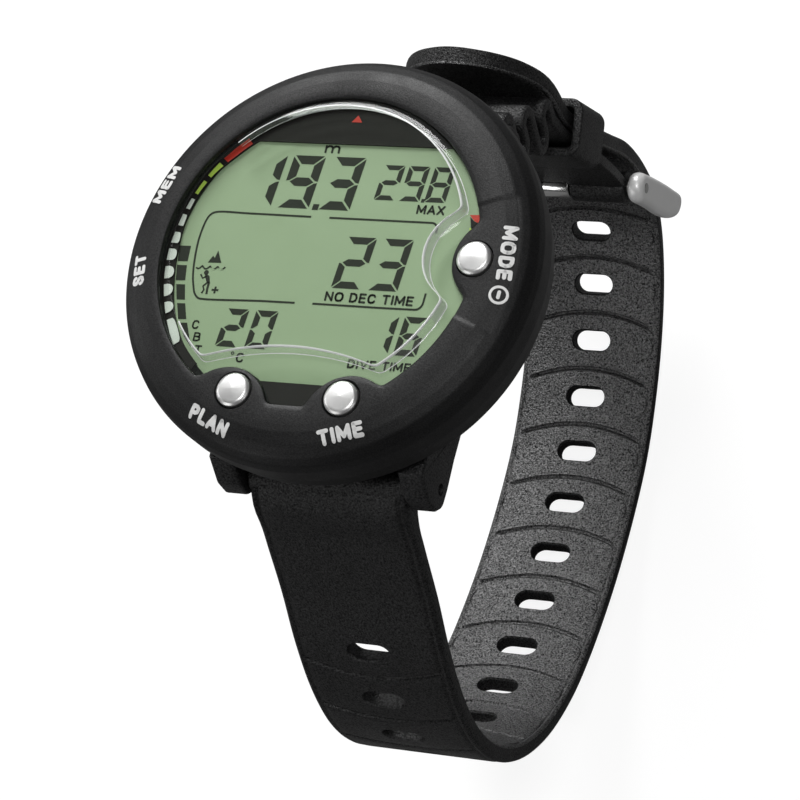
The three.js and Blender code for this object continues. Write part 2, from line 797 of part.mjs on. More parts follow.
// In the buckle's own frame the bar is on X, Y runs to the crossbar and the wrist is at -Z.
function buckleFrame() {
  const { reach, armInner, armOuter } = BUCKLE;
  const arm = new THREE.Shape();
  arm.absarc(0, 0, 2.7, Math.PI / 2, 1.5 * Math.PI);
  arm.bezierCurveTo(6, -2.9, 12, -3.6, 17.2, -3.4);
  arm.bezierCurveTo(20.2, -3.2, 21.6, -1.0, 21.4, 0.4);
  arm.bezierCurveTo(21.2, 1.5, 19.6, 1.8, 17.0, 1.9);
  arm.bezierCurveTo(12, 2.4, 6, 2.7, 0, 2.7);
  const right = sideProfile(arm, armInner, armOuter, 6);
  const left = sideProfile(arm, -armOuter, -armInner, 6);
  const crossbar = rod(1.5, -armOuter + 0.5, armOuter - 0.5, reach, 0);
  return cut(join(right, left, crossbar), rod(BAR.radius + 0.2, -20, 20));
}

// Middle line of the tongue: under the strap, up through its slot and over the crossbar.
const TONGUE_LINE = [
  [0, 0],
  [4.2, -1.1],
  [7.8, -1.2],
  [10.4, 0.2],
  [12.2, 2.1],
  [14.2, 3.35],
  [17.0, 3.3],
  [20.0, 2.6],
  [21.8, 2.3],
];

function buckleTongue() {
  const knots = TONGUE_LINE.map(([y, z]) => new THREE.Vector3(0, y, z));
  const curve = new THREE.CatmullRomCurve3(knots, false, 'centripetal');
  const line = sampled(curve.getSpacedPoints(26).map((p) => new THREE.Vector2(p.y, p.z)));
  const half = 0.65;
  const offset = (sign) => ({ point, tangent }) =>
    point.clone().add(new THREE.Vector2(tangent.y, -tangent.x).multiplyScalar(sign * half));
  const outline = [...line.map(offset(1)), ...line.map(offset(-1)).reverse()];
  const blade = sideProfile(new THREE.Shape(outline), -1.9, 1.9);
  return cut(join(blade, rod(2.3, -2.5, 2.5)), rod(BAR.radius + 0.2, -20, 20));
}

function buckleBar() {
  return rod(BAR.radius, -BUCKLE.armOuter + 0.1, BUCKLE.armOuter - 0.1, 0, 0, SEGMENTS.tiny);
}

// ---------------------------------------------------------------- assembly

const diveComputer = new THREE.Group();

function place(parent, name, geometry, material) {
  const mesh = new THREE.Mesh(geometry, material);
  mesh.name = name;
  parent.add(mesh);
  return mesh;
}

function addCase() {
  place(diveComputer, 'case_body', caseBody(), MATERIALS.casePlastic);
  place(diveComputer, 'protective_boot', protectiveBoot(), MATERIALS.boot);
  place(diveComputer, 'display_window', displayWindow(), MATERIALS.clearWindow);
  place(diveComputer, 'window_gasket', windowGasket(), MATERIALS.seal);
  place(diveComputer, 'dial_mask', dialMask(), MATERIALS.mask);
  place(diveComputer, 'lcd_panel', lcdPanel(), MATERIALS.display);
  place(diveComputer, 'backlight_panel', backlightPanel(), MATERIALS.whitePlastic);
  place(diveComputer, 'lcd_carrier', lcdCarrier(), MATERIALS.whitePlastic);
  const strip = { upper: 12.5, lower: -12.5 };
  for (const [side, y] of Object.entries(strip)) {
    place(diveComputer, `${side}_connector_strip`, connectorStrip(), MATERIALS.seal).position.y = y;
  }
}

function addElectronics() {
  place(diveComputer, 'circuit_board', circuitBoard(), MATERIALS.board);
  place(diveComputer, 'processor_chip', processorChip(), MATERIALS.chip);
  BOARD_POSTS.forEach((spot, i) => {
    place(diveComputer, `board_screw_${i + 1}`, boardScrew(spot), MATERIALS.steel);
  });
  place(diveComputer, 'pressure_sensor', pressureSensor(), MATERIALS.steel);
  place(diveComputer, 'sensor_seal', sensorSeal(), MATERIALS.seal);
  place(diveComputer, 'water_contact', waterContact(), MATERIALS.steel);
  place(diveComputer, 'piezo_buzzer', piezoBuzzer(), MATERIALS.brass);
  place(diveComputer, 'battery', battery(), MATERIALS.steel);
  place(diveComputer, 'battery_contact_negative', contactNegative(), MATERIALS.brass);
  place(diveComputer, 'battery_contact_positive', contactPositive(), MATERIALS.brass);
  place(diveComputer, 'battery_cover', batteryCover(), MATERIALS.casePlastic);
  place(diveComputer, 'battery_cover_seal', coverSeal(), MATERIALS.seal);
  place(diveComputer, 'battery_lock_ring', lockRing(), MATERIALS.casePlastic);
}

function addButtons() {
  for (const [name, spot] of Object.entries(BUTTON_PLACES)) {
    place(diveComputer, `${name}_button`, buttonAt(spot), MATERIALS.steel);
    place(diveComputer, `${name}_button_spring`, buttonSpring(spot), MATERIALS.springSteel);
    place(diveComputer, `${name}_button_seal`, buttonSeal(spot), MATERIALS.seal);
    place(diveComputer, `${name}_button_clip`, buttonClip(spot), MATERIALS.springSteel);
    place(diveComputer, `${name}_switch`, tactSwitch(spot), MATERIALS.steel);
  }
}

function turnedGroup({ y, z, angle }) {
  const group = new THREE.Group();
  group.position.set(0, y, z);
  group.rotation.x = angle * DEGREE;
  diveComputer.add(group);
  return group;
}

function addStrap() {
  place(diveComputer, 'spring_bar_12_oclock', springBar(1), MATERIALS.springSteel);
  place(diveComputer, 'spring_bar_6_oclock', springBar(-1), MATERIALS.springSteel);
  place(diveComputer, 'long_strap', longStrap(), MATERIALS.strap);
  place(diveComputer, 'short_strap', shortStrap(), MATERIALS.strap);
  place(turnedGroup(KEEPER), 'strap_keeper', strapKeeper(), MATERIALS.strap);
  const buckle = turnedGroup(BUCKLE);
  place(buckle, 'buckle_frame', buckleFrame(), MATERIALS.steel);
  place(buckle, 'buckle_tongue', buckleTongue(), MATERIALS.steel);
  place(buckle, 'buckle_bar', buckleBar(), MATERIALS.steel);
}

addCase();
addElectronics();
addButtons();
addStrap();

export default diveComputer;
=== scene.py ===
"""Looks of the wrist dive computer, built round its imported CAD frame.

Lengths are in millimetres in the row frame until a mesh is made: the origin is on the case
axis at the back face, +Z points out of the display and +Y to the 12 o'clock lugs.
"""

import math

import bmesh
import bpy
import numpy as np
from mathutils import Matrix, Vector


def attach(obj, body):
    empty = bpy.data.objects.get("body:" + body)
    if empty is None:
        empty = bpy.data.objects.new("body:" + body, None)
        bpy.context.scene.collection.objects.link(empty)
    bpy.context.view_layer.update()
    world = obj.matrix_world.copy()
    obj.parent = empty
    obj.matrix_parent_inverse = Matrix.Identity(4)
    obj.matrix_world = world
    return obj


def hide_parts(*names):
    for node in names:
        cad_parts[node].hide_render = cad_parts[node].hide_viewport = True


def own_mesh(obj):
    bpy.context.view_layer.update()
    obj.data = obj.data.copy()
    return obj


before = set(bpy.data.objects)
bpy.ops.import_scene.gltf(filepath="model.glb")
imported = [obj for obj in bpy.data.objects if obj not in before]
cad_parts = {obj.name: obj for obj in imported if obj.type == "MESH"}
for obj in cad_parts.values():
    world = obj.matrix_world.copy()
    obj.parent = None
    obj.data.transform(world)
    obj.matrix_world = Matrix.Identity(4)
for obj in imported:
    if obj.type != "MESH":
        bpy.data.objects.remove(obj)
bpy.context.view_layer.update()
scene = bpy.context.scene
MM = 0.001
DEGREE = math.pi / 180

# ------------------------------------------------------------------ dimensions shared with the CAD

BUTTON_CIRCLE = 24.2
BUTTON_ANGLES = {"mode": 0.7, "time": -69.1, "plan": -110.9}
BAR_Y, BAR_Z = 27.7, 4.9
STRAP_HALF_WIDTH = 13.0
SLOT_LENGTH, SLOT_WIDTH, SLOT_PITCH = 7.2, 3.6, 10.66
SLOTS_TO_TIP, SLOTS_TO_LUG = 2, 16
HELD_SLOT = (58.0, -68.5)
TIP_LENGTH = 19.0
KEEPER = {"y": 49.0, "z": -30.9, "angle": -74.3}
BUCKLE = {"y": 52.2, "z": -57.5, "angle": -71.2}
LONG_STRAP_LINE = [
    (-27.7, 4.9), (-31.0, 2.4), (-34.7, -3.9), (-39.7, -13.1), (-45.4, -22.4), (-50.0, -32.0),
    (-52.6, -41.5), (-52.6, -51.5), (-49.6, -61.8), (-43.4, -71.6), (-34.6, -79.5), (-25.0, -84.8),
    (-10.0, -90.2), (5.2, -93.3), (16.0, -94.0), (26.2, -92.6), (36.4, -89.6), (45.9, -84.8),
    (53.6, -78.0), (57.6, -70.2), (58.5, -62.0), (57.6, -53.5), (55.0, -45.3), (52.6, -37.9),
    (50.55, -30.5), (48.9, -24.6), (49.1, -19.5), (49.6, -14.5), (49.0, -8.5), (47.3, -0.5),
]
SHORT_STRAP_END = [(46.1, -25.4), (47.45, -31.4), (49.0, -37.1), (50.9, -46.0), (51.8, -52.0), (52.2, -57.5)]
FOLD_RADIUS, FOLD_DOWN, FOLD_UP = 1.85, 6.2, 1.8
TONGUE_LINE = [
    (0, 0), (4.2, -1.1), (7.8, -1.2), (10.4, 0.2), (12.2, 2.1), (14.2, 3.35), (17.0, 3.3), (20.0, 2.6), (21.8, 2.3),
]


def on_circle(radius, degrees):
    return radius * math.cos(degrees * DEGREE), radius * math.sin(degrees * DEGREE)


BUTTONS = {name: on_circle(BUTTON_CIRCLE, angle) for name, angle in BUTTON_ANGLES.items()}

# ------------------------------------------------------------------ materials


class Nodes:
    """A material's node tree with a short way to add and join nodes."""

    def __init__(self, name):
        self.material = bpy.data.materials.new(name)
        self.material.use_nodes = True
        self.tree = self.material.node_tree
        self.tree.nodes.clear()
        self.output = self.add("ShaderNodeOutputMaterial")

    def add(self, kind, **settings):
        node = self.tree.nodes.new(kind)
        for key, value in settings.items():
            if hasattr(node, key):
                setattr(node, key, value)
            else:
                node.inputs[key.replace("_", " ")].default_value = value
        return node

    def link(self, source, target):
        self.tree.links.new(source, target)

    def noise(self, scale, detail=3.0, roughness=0.55):
        place = self.add("ShaderNodeTexCoord")
        texture = self.add("ShaderNodeTexNoise", Scale=scale, Detail=detail, Roughness=roughness)
        self.link(place.outputs["Object"], texture.inputs["Vector"])
        return texture.outputs["Fac"]

    def spread(self, source, low, high):
        node = self.add("ShaderNodeMapRange")
        node.inputs["From Min"].default_value = 0.3
        node.inputs["From Max"].default_value = 0.7
        node.inputs["To Min"].default_value = low
        node.inputs["To Max"].default_value = high
        self.link(source, node.inputs["Value"])
        return node.outputs["Result"]


def surface(name, color, roughness, metallic=0.0, grain=4500, depth=0.00002, vary=0.06, shade=0.12, specular=0.5,
            stretch=None, sparkle=0.0):
    """A principled surface with fine grain, patchy sheen and slight shifts of colour."""
    nodes = Nodes(name)
    shader = nodes.add("ShaderNodeBsdfPrincipled", Metallic=metallic)
    shader.inputs["Specular IOR Level"].default_value = specular
    patches = nodes.noise(160, 4)
    nodes.link(nodes.spread(patches, roughness - vary, roughness + vary), shader.inputs["Roughness"])
    tint = nodes.add("ShaderNodeMix", data_type="RGBA")
    nodes.link(nodes.noise(420, 5), tint.inputs["Factor"])
    tint.inputs["A"].default_value = (*[c * (1 - shade) for c in color], 1)
    tint.inputs["B"].default_value = (*[min(1, c * (1 + shade)) for c in color], 1)
    nodes.link(tint.outputs["Result"], shader.inputs["Base Color"])
    place = nodes.add("ShaderNodeTexCoord")
    mapping = nodes.add("ShaderNodeMapping")
    mapping.inputs["Scale"].default_value = stretch or (1, 1, 1)
    texture = nodes.add("ShaderNodeTexNoise", Scale=grain, Detail=2.0)
    nodes.link(place.outputs["Object"], mapping.inputs["Vector"])
    nodes.link(mapping.outputs["Vector"], texture.inputs["Vector"])
    if sparkle:
        glint = nodes.spread(texture.outputs["Fac"], specular * (1 - sparkle), specular * (1 + sparkle))
        nodes.link(glint, shader.inputs["Specular IOR Level"])
    bump = nodes.add("ShaderNodeBump", Distance=depth, Strength=1.0)
    nodes.link(texture.outputs["Fac"], bump.inputs["Height"])
    nodes.link(bump.outputs["Normal"], shader.inputs["Normal"])
    nodes.link(shader.outputs["BSDF"], nodes.output.inputs["Surface"])
    return nodes.material


def clear(name, ior, haze_and_painted_highlight, roughness=0.03):
    """A clear moulding: light passes straight through, with a surface reflection and some milky white. The milky white
    is a little haze on the window's face and painted highlight on its edge, wall, scallop and bevel pieces.
    """
    nodes = Nodes(name)
    passing = nodes.add("ShaderNodeBsdfTransparent", Color=(0.95, 0.98, 0.95, 1))
    milky_haze_and_highlight = nodes.add("ShaderNodeBsdfDiffuse", Color=(0.92, 0.94, 0.93, 1))
    body = nodes.add("ShaderNodeMixShader", Fac=haze_and_painted_highlight)
    nodes.link(passing.outputs[0], body.inputs[1])
    nodes.link(milky_haze_and_highlight.outputs[0], body.inputs[2])
    glint = nodes.add("ShaderNodeBsdfGlossy", Color=(1, 1, 1, 1))
    nodes.link(nodes.spread(nodes.noise(300, 3), roughness * 0.6, roughness * 1.6), glint.inputs["Roughness"])
    fresnel = nodes.add("ShaderNodeFresnel", IOR=ior)
    side = nodes.add("ShaderNodeNewGeometry")
    front = nodes.add("ShaderNodeMath", operation="SUBTRACT", use_clamp=True)
    nodes.link(fresnel.outputs[0], front.inputs[0])
    nodes.link(side.outputs["Backfacing"], front.inputs[1])
    blend = nodes.add("ShaderNodeMixShader")
    nodes.link(front.outputs[0], blend.inputs[0])
    nodes.link(body.outputs[0], blend.inputs[1])
    nodes.link(glint.outputs[0], blend.inputs[2])
    nodes.link(blend.outputs[0], nodes.output.inputs["Surface"])
    return nodes.material


BOOT = surface("boot elastomer", (0.0042, 0.0042, 0.0045), 0.5, grain=5200, depth=0.00003, specular=0.36, sparkle=0.35)
STRAP = surface("strap elastomer", (0.005, 0.005, 0.0052), 0.48, grain=3400, depth=0.00018, specular=0.5, shade=0.3,
                sparkle=0.8)
# Painted sheen: a lighter, glossier copy of the strap rubber for the strap's inner face, standing in for the light that
# reaches the inside of the loop.
STRAP_INNER_PAINTED_SHEEN = surface("strap inner face painted sheen", (0.014, 0.014, 0.0145), 0.46, grain=3200, depth=0.0003, specular=1.5, shade=0.3,
                sparkle=1.0)
PLASTIC = surface("case plastic", (0.009, 0.009, 0.0095), 0.5, grain=3200, depth=0.00014, specular=0.45, shade=0.3, sparkle=0.9)
SATIN = surface("satin steel", (0.93, 0.93, 0.92), 0.42, 1.0, grain=9000, depth=0.000004, vary=0.05, shade=0.03)
POLISHED = surface("polished steel", (0.84, 0.84, 0.83), 0.17, 1.0, grain=2500, depth=0.000003, vary=0.05, shade=0.03,
                   stretch=(1, 6, 6))
STEEL = surface("plain steel", (0.55, 0.55, 0.54), 0.36, 1.0, grain=5000, depth=0.000008, shade=0.06)
BLASTED = surface("blasted steel", (0.96, 0.96, 0.95), 0.38, 0.25, grain=5200, depth=0.00001, vary=0.05, shade=0.05)
BRASS = surface("contact brass", (0.62, 0.46, 0.2), 0.35, 1.0, grain=5000, depth=0.000008, shade=0.06)
SEAL = surface("seal rubber", (0.01, 0.01, 0.01), 0.6, grain=5000)
BOARD = surface("board laminate", (0.015, 0.11, 0.045), 0.4, grain=3000, depth=0.00002)
RESIN = surface("chip resin", (0.016, 0.016, 0.017), 0.55, grain=6000)
DIFFUSER = surface("white diffuser", (0.72, 0.71, 0.67), 0.5, grain=3000, shade=0.04)
DISPLAY = surface("display glass", (0.365, 0.445, 0.300), 0.32, grain=1500, depth=0.000002, vary=0.04, shade=0.025)
SEGMENT = surface("display segment", (0.02, 0.022, 0.016), 0.6, grain=4000, depth=0.000002, shade=0.05, specular=0.2)
MASK = surface("mask print", (0.006, 0.0035, 0.003), 0.5, grain=3000, depth=0.000004, shade=0.1, specular=0.2)
WHITE = surface("white print", (0.78, 0.78, 0.77), 0.45, grain=5000, depth=0.000006, shade=0.03)
RED = surface("red print", (0.62, 0.022, 0.008), 0.4, grain=4000, depth=0.000004, shade=0.05)
LIME = surface("lime print", (0.60, 0.78, 0.12), 0.4, grain=4000, depth=0.000004, shade=0.05)
WINDOW = clear("clear window", 1.22, 0.003)
# Painted highlights: these copies of the window mix in milky white so that its ledge, wall, scallop and bevel show as
# bright edge lines.
WINDOW_EDGE_PAINTED_HIGHLIGHT = clear("clear window edge painted highlight", 1.4, 0.012, 0.08)
WINDOW_WALL_PAINTED_HIGHLIGHT = clear("clear window wall painted highlight", 1.5, 0.1, 0.1)
WINDOW_SCALLOP_PAINTED_HIGHLIGHT = clear("clear window scallop painted highlight", 1.5, 0.42, 0.1)
WINDOW_BEVEL_PAINTED_HIGHLIGHT = clear("clear window bevel painted highlight", 1.6, 0.9, 0.06)

# ------------------------------------------------------------------ mesh helpers


def finish_mesh(obj, sharp=38):
    for polygon in obj.data.polygons:
        polygon.use_smooth = True
    obj.data.set_sharp_from_angle(angle=sharp * DEGREE)


def link_piece(name, mesh, material, body, replaces=()):
    """Shows a mesh in metres as a piece riding on a CAD body."""
    mesh.materials.clear()
    mesh.materials.append(material)
    obj = bpy.data.objects.new(name.replace(" ", "_"), mesh)
    scene.collection.objects.link(obj)
    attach(obj, body)
    if replaces:
        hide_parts(*replaces)
    return obj


def add_piece(name, part, material, body, replaces=(), place=None, sharp=38):
    """A piece made of vertices in millimetres and faces."""
    vertices, faces = part
    mesh = bpy.data.meshes.new(name)
    points = [Vector(v) for v in vertices]
    if place is not None:
        points = [place @ p for p in points]
    mesh.from_pydata([tuple(p * MM) for p in points], [], faces)
    tidy_normals(mesh)
    obj = link_piece(name, mesh, material, body, replaces)
    finish_mesh(obj, sharp)
    return obj


def tidy_normals(mesh):
    work = bmesh.new()
    work.from_mesh(mesh)
    bmesh.ops.remove_doubles(work, verts=work.verts, dist=1e-7)
    bmesh.ops.recalc_face_normals(work, faces=work.faces)
    work.to_mesh(mesh)
    work.free()


def combined(parts):
    """One list of vertices and faces from several."""
    vertices, faces = [], []
    for part_vertices, part_faces in parts:
        start = len(vertices)
        vertices.extend(part_vertices)
        faces.extend([tuple(i + start for i in face) for face in part_faces])
    return vertices, faces


def moved(part, x=0.0, y=0.0, z=0.0):
    vertices, faces = part
    return [(vx + x, vy + y, vz + z) for vx, vy, vz in vertices], faces


def skin(rings, cap_start=True, cap_end=True, loop=False):
    """Quads between rings with the same number of points, each ring closed on itself."""
    count = len(rings[0])
    vertices = [tuple(p) for ring in rings for p in ring]
    faces = []
    last = len(rings) if loop else len(rings) - 1
    for i in range(last):
        a, b = i * count, ((i + 1) % len(rings)) * count
        for j in range(count):
            k = (j + 1) % count
            faces.append((a + j, a + k, b + k, b + j))
    if not loop and cap_start:
        faces.append(tuple(range(count)))
    if not loop and cap_end:
        faces.append(tuple(range((len(rings) - 1) * count, len(rings) * count)))
    return vertices, faces


def filleted(points, radius, steps=5, closed=True):
    """The polygon with its corners rounded; radius is one number or one for each corner."""
    points = [np.array(p, float) for p in points]
    count = len(points)
    radii = radius if isinstance(radius, (list, tuple)) else [radius] * count
    result = []
    for i, point in enumerate(points):
        if radii[i] <= 0 or (not closed and i in (0, count - 1)):
            result.append(tuple(point))
            continue
        before, after = points[i - 1] - point, points[(i + 1) % count] - point
        room = 0.48 * min(np.linalg.norm(before), np.linalg.norm(after))
        before, after = before / np.linalg.norm(before), after / np.linalg.norm(after)
        half = math.acos(float(np.clip(before @ after, -1, 1))) / 2
        if half > 1.55 or half < 0.02:
            result.append(tuple(point))
            continue
        reach = min(radii[i] / math.tan(half), room)
        start, end = point + before * reach, point + after * reach
        for k in range(steps + 1):
            t = k / steps
            result.append(tuple((1 - t) ** 2 * start + 2 * t * (1 - t) * point + t * t * end))
    return result


def turned(profile, segments=128, closed=False):
    """Surface of revolution about Z from radius and level pairs."""
    rings = []
    for radius, level in profile:
        radius = max(radius, 1e-4)
        rings.append([(*on_circle(radius, 360 * j / segments), level) for j in range(segments)])
    return skin(rings, loop=closed)


def inset(outline, distance):
    """The outline in y and z moved inwards; the outline runs anticlockwise."""
    points = np.array(outline)
    ahead, behind = np.roll(points, -1, axis=0), np.roll(points, 1, axis=0)
    tangent = ahead - behind
    tangent /= np.maximum(np.linalg.norm(tangent, axis=1, keepdims=True), 1e-9)
    return points + distance * np.stack([-tangent[:, 1], tangent[:, 0]], axis=1)


def across(outline, left, right, edge=0.4, steps=4):
    """A y, z outline extruded along X, with its end edges rounded."""
    area = sum(a[0] * b[1] - b[0] * a[1] for a, b in zip(outline, outline[1:] + outline[:1]))
    outline = outline if area > 0 else outline[::-1]
    rings = []
    for side, sign in ((left, 1), (right, -1)):
        part = []
        for k in range(steps + 1):
            turn = k / steps * math.pi / 2
            x = side + sign * edge * (1 - math.sin(turn))
            part.append([(x, y, z) for y, z in inset(outline, edge * (1 - math.cos(turn)))])
        rings.extend(part[::-1] if sign > 0 else part)
    rings.sort(key=lambda ring: ring[0][0])
    return skin(rings)


def rod(radius, left, right, y=0.0, z=0.0, edge=0.2, segments=48):
    outline = [(y + radius * math.cos(t), z + radius * math.sin(t)) for t in np.linspace(0, 2 * math.pi, segments + 1)[:-1]]
    return across(outline, left, right, edge)


def cut_with(obj, parts):
    """Takes closed parts, in millimetres, out of a piece."""
    vertices, faces = combined(parts)
    mesh = bpy.data.meshes.new("cutter")
    mesh.from_pydata([tuple(c * MM for c in v) for v in vertices], [], faces)
    tidy_normals(mesh)
    cutter = bpy.data.objects.new("cutter", mesh)
    scene.collection.objects.link(cutter)
    modifier = obj.modifiers.new("cut", "BOOLEAN")
    modifier.operation = "DIFFERENCE"
    modifier.solver = "EXACT"
    modifier.object = cutter
    bpy.context.view_layer.update()
    result = bpy.data.meshes.new_from_object(obj.evaluated_get(bpy.context.evaluated_depsgraph_get()))
    obj.modifiers.clear()
    obj.data = result
    bpy.data.objects.remove(cutter)
    finish_mesh(obj, 30)


def turned_place(spot):
    return Matrix.Translation((0, spot["y"], spot["z"])) @ Matrix.Rotation(spot["angle"] * DEGREE, 4, "X")


# ------------------------------------------------------------------ lines in the y, z plane


def curve_through(points, per_span=30):
    """Centripetal Catmull-Rom curve through the points."""
    points = [np.array(p, float) for p in points]
    points = [2 * points[0] - points[1], *points, 2 * points[-1] - points[-2]]
    result = []
    for i in range(1, len(points) - 2):
        p0, p1, p2, p3 = points[i - 1 : i + 3]
        d0, d1, d2 = (math.sqrt(np.linalg.norm(b - a)) for a, b in ((p0, p1), (p1, p2), (p2, p3)))
        m1 = d1 * ((p1 - p0) / d0 - (p2 - p0) / (d0 + d1) + (p2 - p1) / d1)
        m2 = d1 * ((p2 - p1) / d1 - (p3 - p1) / (d1 + d2) + (p3 - p2) / d2)
        for t in np.linspace(0, 1, per_span, endpoint=False):
            a, b = 2 * t**3 - 3 * t**2 + 1, t**3 - 2 * t**2 + t
            c, d = -2 * t**3 + 3 * t**2, t**3 - t**2
            result.append(a * p1 + b * m1 + c * p2 + d * m2)
    return [*result, points[-2]]


def walk(start, heading, steps):
    """Points of a path that goes straight for a length or turns (degrees, radius)."""
    points, angle = [np.array(start, float)], heading * DEGREE
    for kind, value, *radius in steps:
        pieces = 6 if kind == "ahead" else max(4, int(abs(value) / 6))
        part = 0 if kind == "ahead" else value * DEGREE / pieces
        length = value / pieces if kind == "ahead" else 2 * radius[0] * math.sin(abs(part) / 2)
        for _ in range(pieces):
            angle += part / 2
            points.append(points[-1] + length * np.array([math.cos(angle), math.sin(angle)]))
            angle += part / 2
    return points


class Line:
    """A line in the y, z plane, read by the length along it."""

    def __init__(self, points):
        self.points = np.array(points)
        steps = np.linalg.norm(np.diff(self.points, axis=0), axis=1)
        self.lengths = np.concatenate([[0], np.cumsum(steps)])
        self.total = self.lengths[-1]
        slope = np.gradient(self.points, self.lengths, axis=0)
        self.tangents = slope / np.linalg.norm(slope, axis=1, keepdims=True)

    def at(self, length):
        read = lambda values: np.array([np.interp(length, self.lengths, values[:, i]) for i in (0, 1)])
        point, tangent = read(self.points), read(self.tangents)
        tangent /= np.linalg.norm(tangent)
        point += tangent * (length - min(max(length, 0), self.total))
        return point, tangent

    def spot(self, x, length, height):
        """The place at x across, length along and height above the middle line."""
        point, tangent = self.at(length)
        return x, point[0] + tangent[1] * height, point[1] - tangent[0] * height

    def nearest(self, target):
        return self.lengths[np.argmin(np.linalg.norm(self.points - np.array(target), axis=1))]


def smooth_step(value, low, high):
    t = min(max((value - low) / (high - low), 0), 1)
    return t * t * (3 - 2 * t)


# ------------------------------------------------------------------ boot

OPENING_RADIUS, OPENING_SHIFT, OPENING_LOWEST = 25.3, -0.9, -24.2
BOSS_RADIUS, BOSS_OUTWARDS = 6.9, 3.4
POLAR_STEPS = 720


def ray_to_circle(angle, cx, cy, radius, far):
    """Distance along a ray from the origin to a circle, or None where it passes by."""
    along = cx * math.cos(angle) + cy * math.sin(angle)
    gap = radius**2 - (cx**2 + cy**2 - along**2)
    if gap < 0:
        return None
    return along + math.sqrt(gap) if far else along - math.sqrt(gap)


def smoothed(radii, reach):
    radii = np.array(radii)
    kernel = np.exp(-0.5 * (np.arange(-4 * reach, 4 * reach + 1) / reach) ** 2)
    wrapped = np.concatenate([radii[-4 * reach :], radii, radii[: 4 * reach]])
    return np.convolve(wrapped, kernel / kernel.sum(), "valid")


def beyond(spot, distance):
    """The place a distance further out from the case axis."""
    share = 1 + distance / math.hypot(*spot)
    return spot[0] * share, spot[1] * share


def opening_outline(grow=0.0):
    """Distance to the edge of the display opening for every polar step."""
    radii = []
    for i in range(POLAR_STEPS):
        angle = 2 * math.pi * i / POLAR_STEPS
        radius = ray_to_circle(angle, OPENING_SHIFT, 0, OPENING_RADIUS + grow, True)
        if math.sin(angle) < -0.5:
            radius = min(radius, (OPENING_LOWEST - grow) / math.sin(angle))
        for spot in BUTTONS.values():
            hit = ray_to_circle(angle, *beyond(spot, BOSS_OUTWARDS), BOSS_RADIUS - grow, False)
            if hit is not None and hit > 0:
                radius = min(radius, hit)
        radii.append(radius)
    return smoothed(radii, 2)


# Section of the boot's outer skin from the lip outwards and down: share of the way from the
# opening edge to the rim at 26.6 for the lip, then true radii.
LIP = [(0.0, 25.75), (0.0, 26.2), (0.03, 26.42), (0.12, 26.56), (0.3, 26.62), (0.65, 26.64), (1.0, 26.62)]
LIP_END = 27.2
SKIN = filleted([(27.2, 26.62), (28.4, 26.52), (30.2, 26.0), (31.8, 25.0), (32.75, 23.7), (33.1, 22.2), (32.95, 18.6),
                 (32.2, 14.9), (31.2, 13.0), (29.9, 13.0)], 1.6, 4, closed=False)
SKIN = [tuple(np.add(a, (np.array(b) - a) * t)) for a, b in zip(SKIN, SKIN[1:]) for t in (0, 0.25, 0.5, 0.75)] + [SKIN[-1]]


def boot_level(radius):
    """Height of the boot's upper skin at a distance from the axis."""
    upper = [(r, z) for r, z in SKIN if z > 18]
    return float(np.interp(radius, [r for r, _ in upper], [z for _, z in upper]))


def label_panel_depth(angle, radius):
    """The shallow panel pressed into the boot round the mode button."""
    side = smooth_step(angle, -21.5, -20.3) * (1 - smooth_step(angle, 20.3, 21.5))
    return 0.16 * side * (1 - smooth_step(radius, 30.2, 30.8))


def build_boot():
    edge = opening_outline()
    rings = []
    for share, level in LIP:
        ring = []
        for i, inner in enumerate(edge):
            angle = 360 * i / POLAR_STEPS
            radius = inner + share * (LIP_END - inner)
            signed = angle - 360 if angle > 180 else angle
            ring.append((*on_circle(radius, angle), level - label_panel_depth(signed, radius)))
        rings.append(ring)
    for radius, level in SKIN[1:]:
        ring = []
        for i in range(POLAR_STEPS):
            angle = 360 * i / POLAR_STEPS
            signed = angle - 360 if angle > 180 else angle
            drop = label_panel_depth(signed, radius) if level > 23 else 0
            ring.append((*on_circle(radius, angle), level - drop))
        rings.append(ring)
    for radius, level in ((29.9, 24.0), (28.6, 25.2), (27.2, 25.7)):
        rings.append([(*on_circle(radius, 360 * i / POLAR_STEPS), level) for i in range(POLAR_STEPS)])
    part = skin(rings, loop=True)
    boot = add_piece("boot skin", part, BOOT, "case", ["protective_boot"], sharp=50)
    holes = [moved(turned([(2.8, 20.0), (2.78, 26.1), (2.86, 26.35), (3.02, 26.6), (3.02, 30.0)], 64), x, y)
             for x, y in BUTTONS.values()]
    cut_with(boot, holes)


# ------------------------------------------------------------------ case, battery hatch and buttons


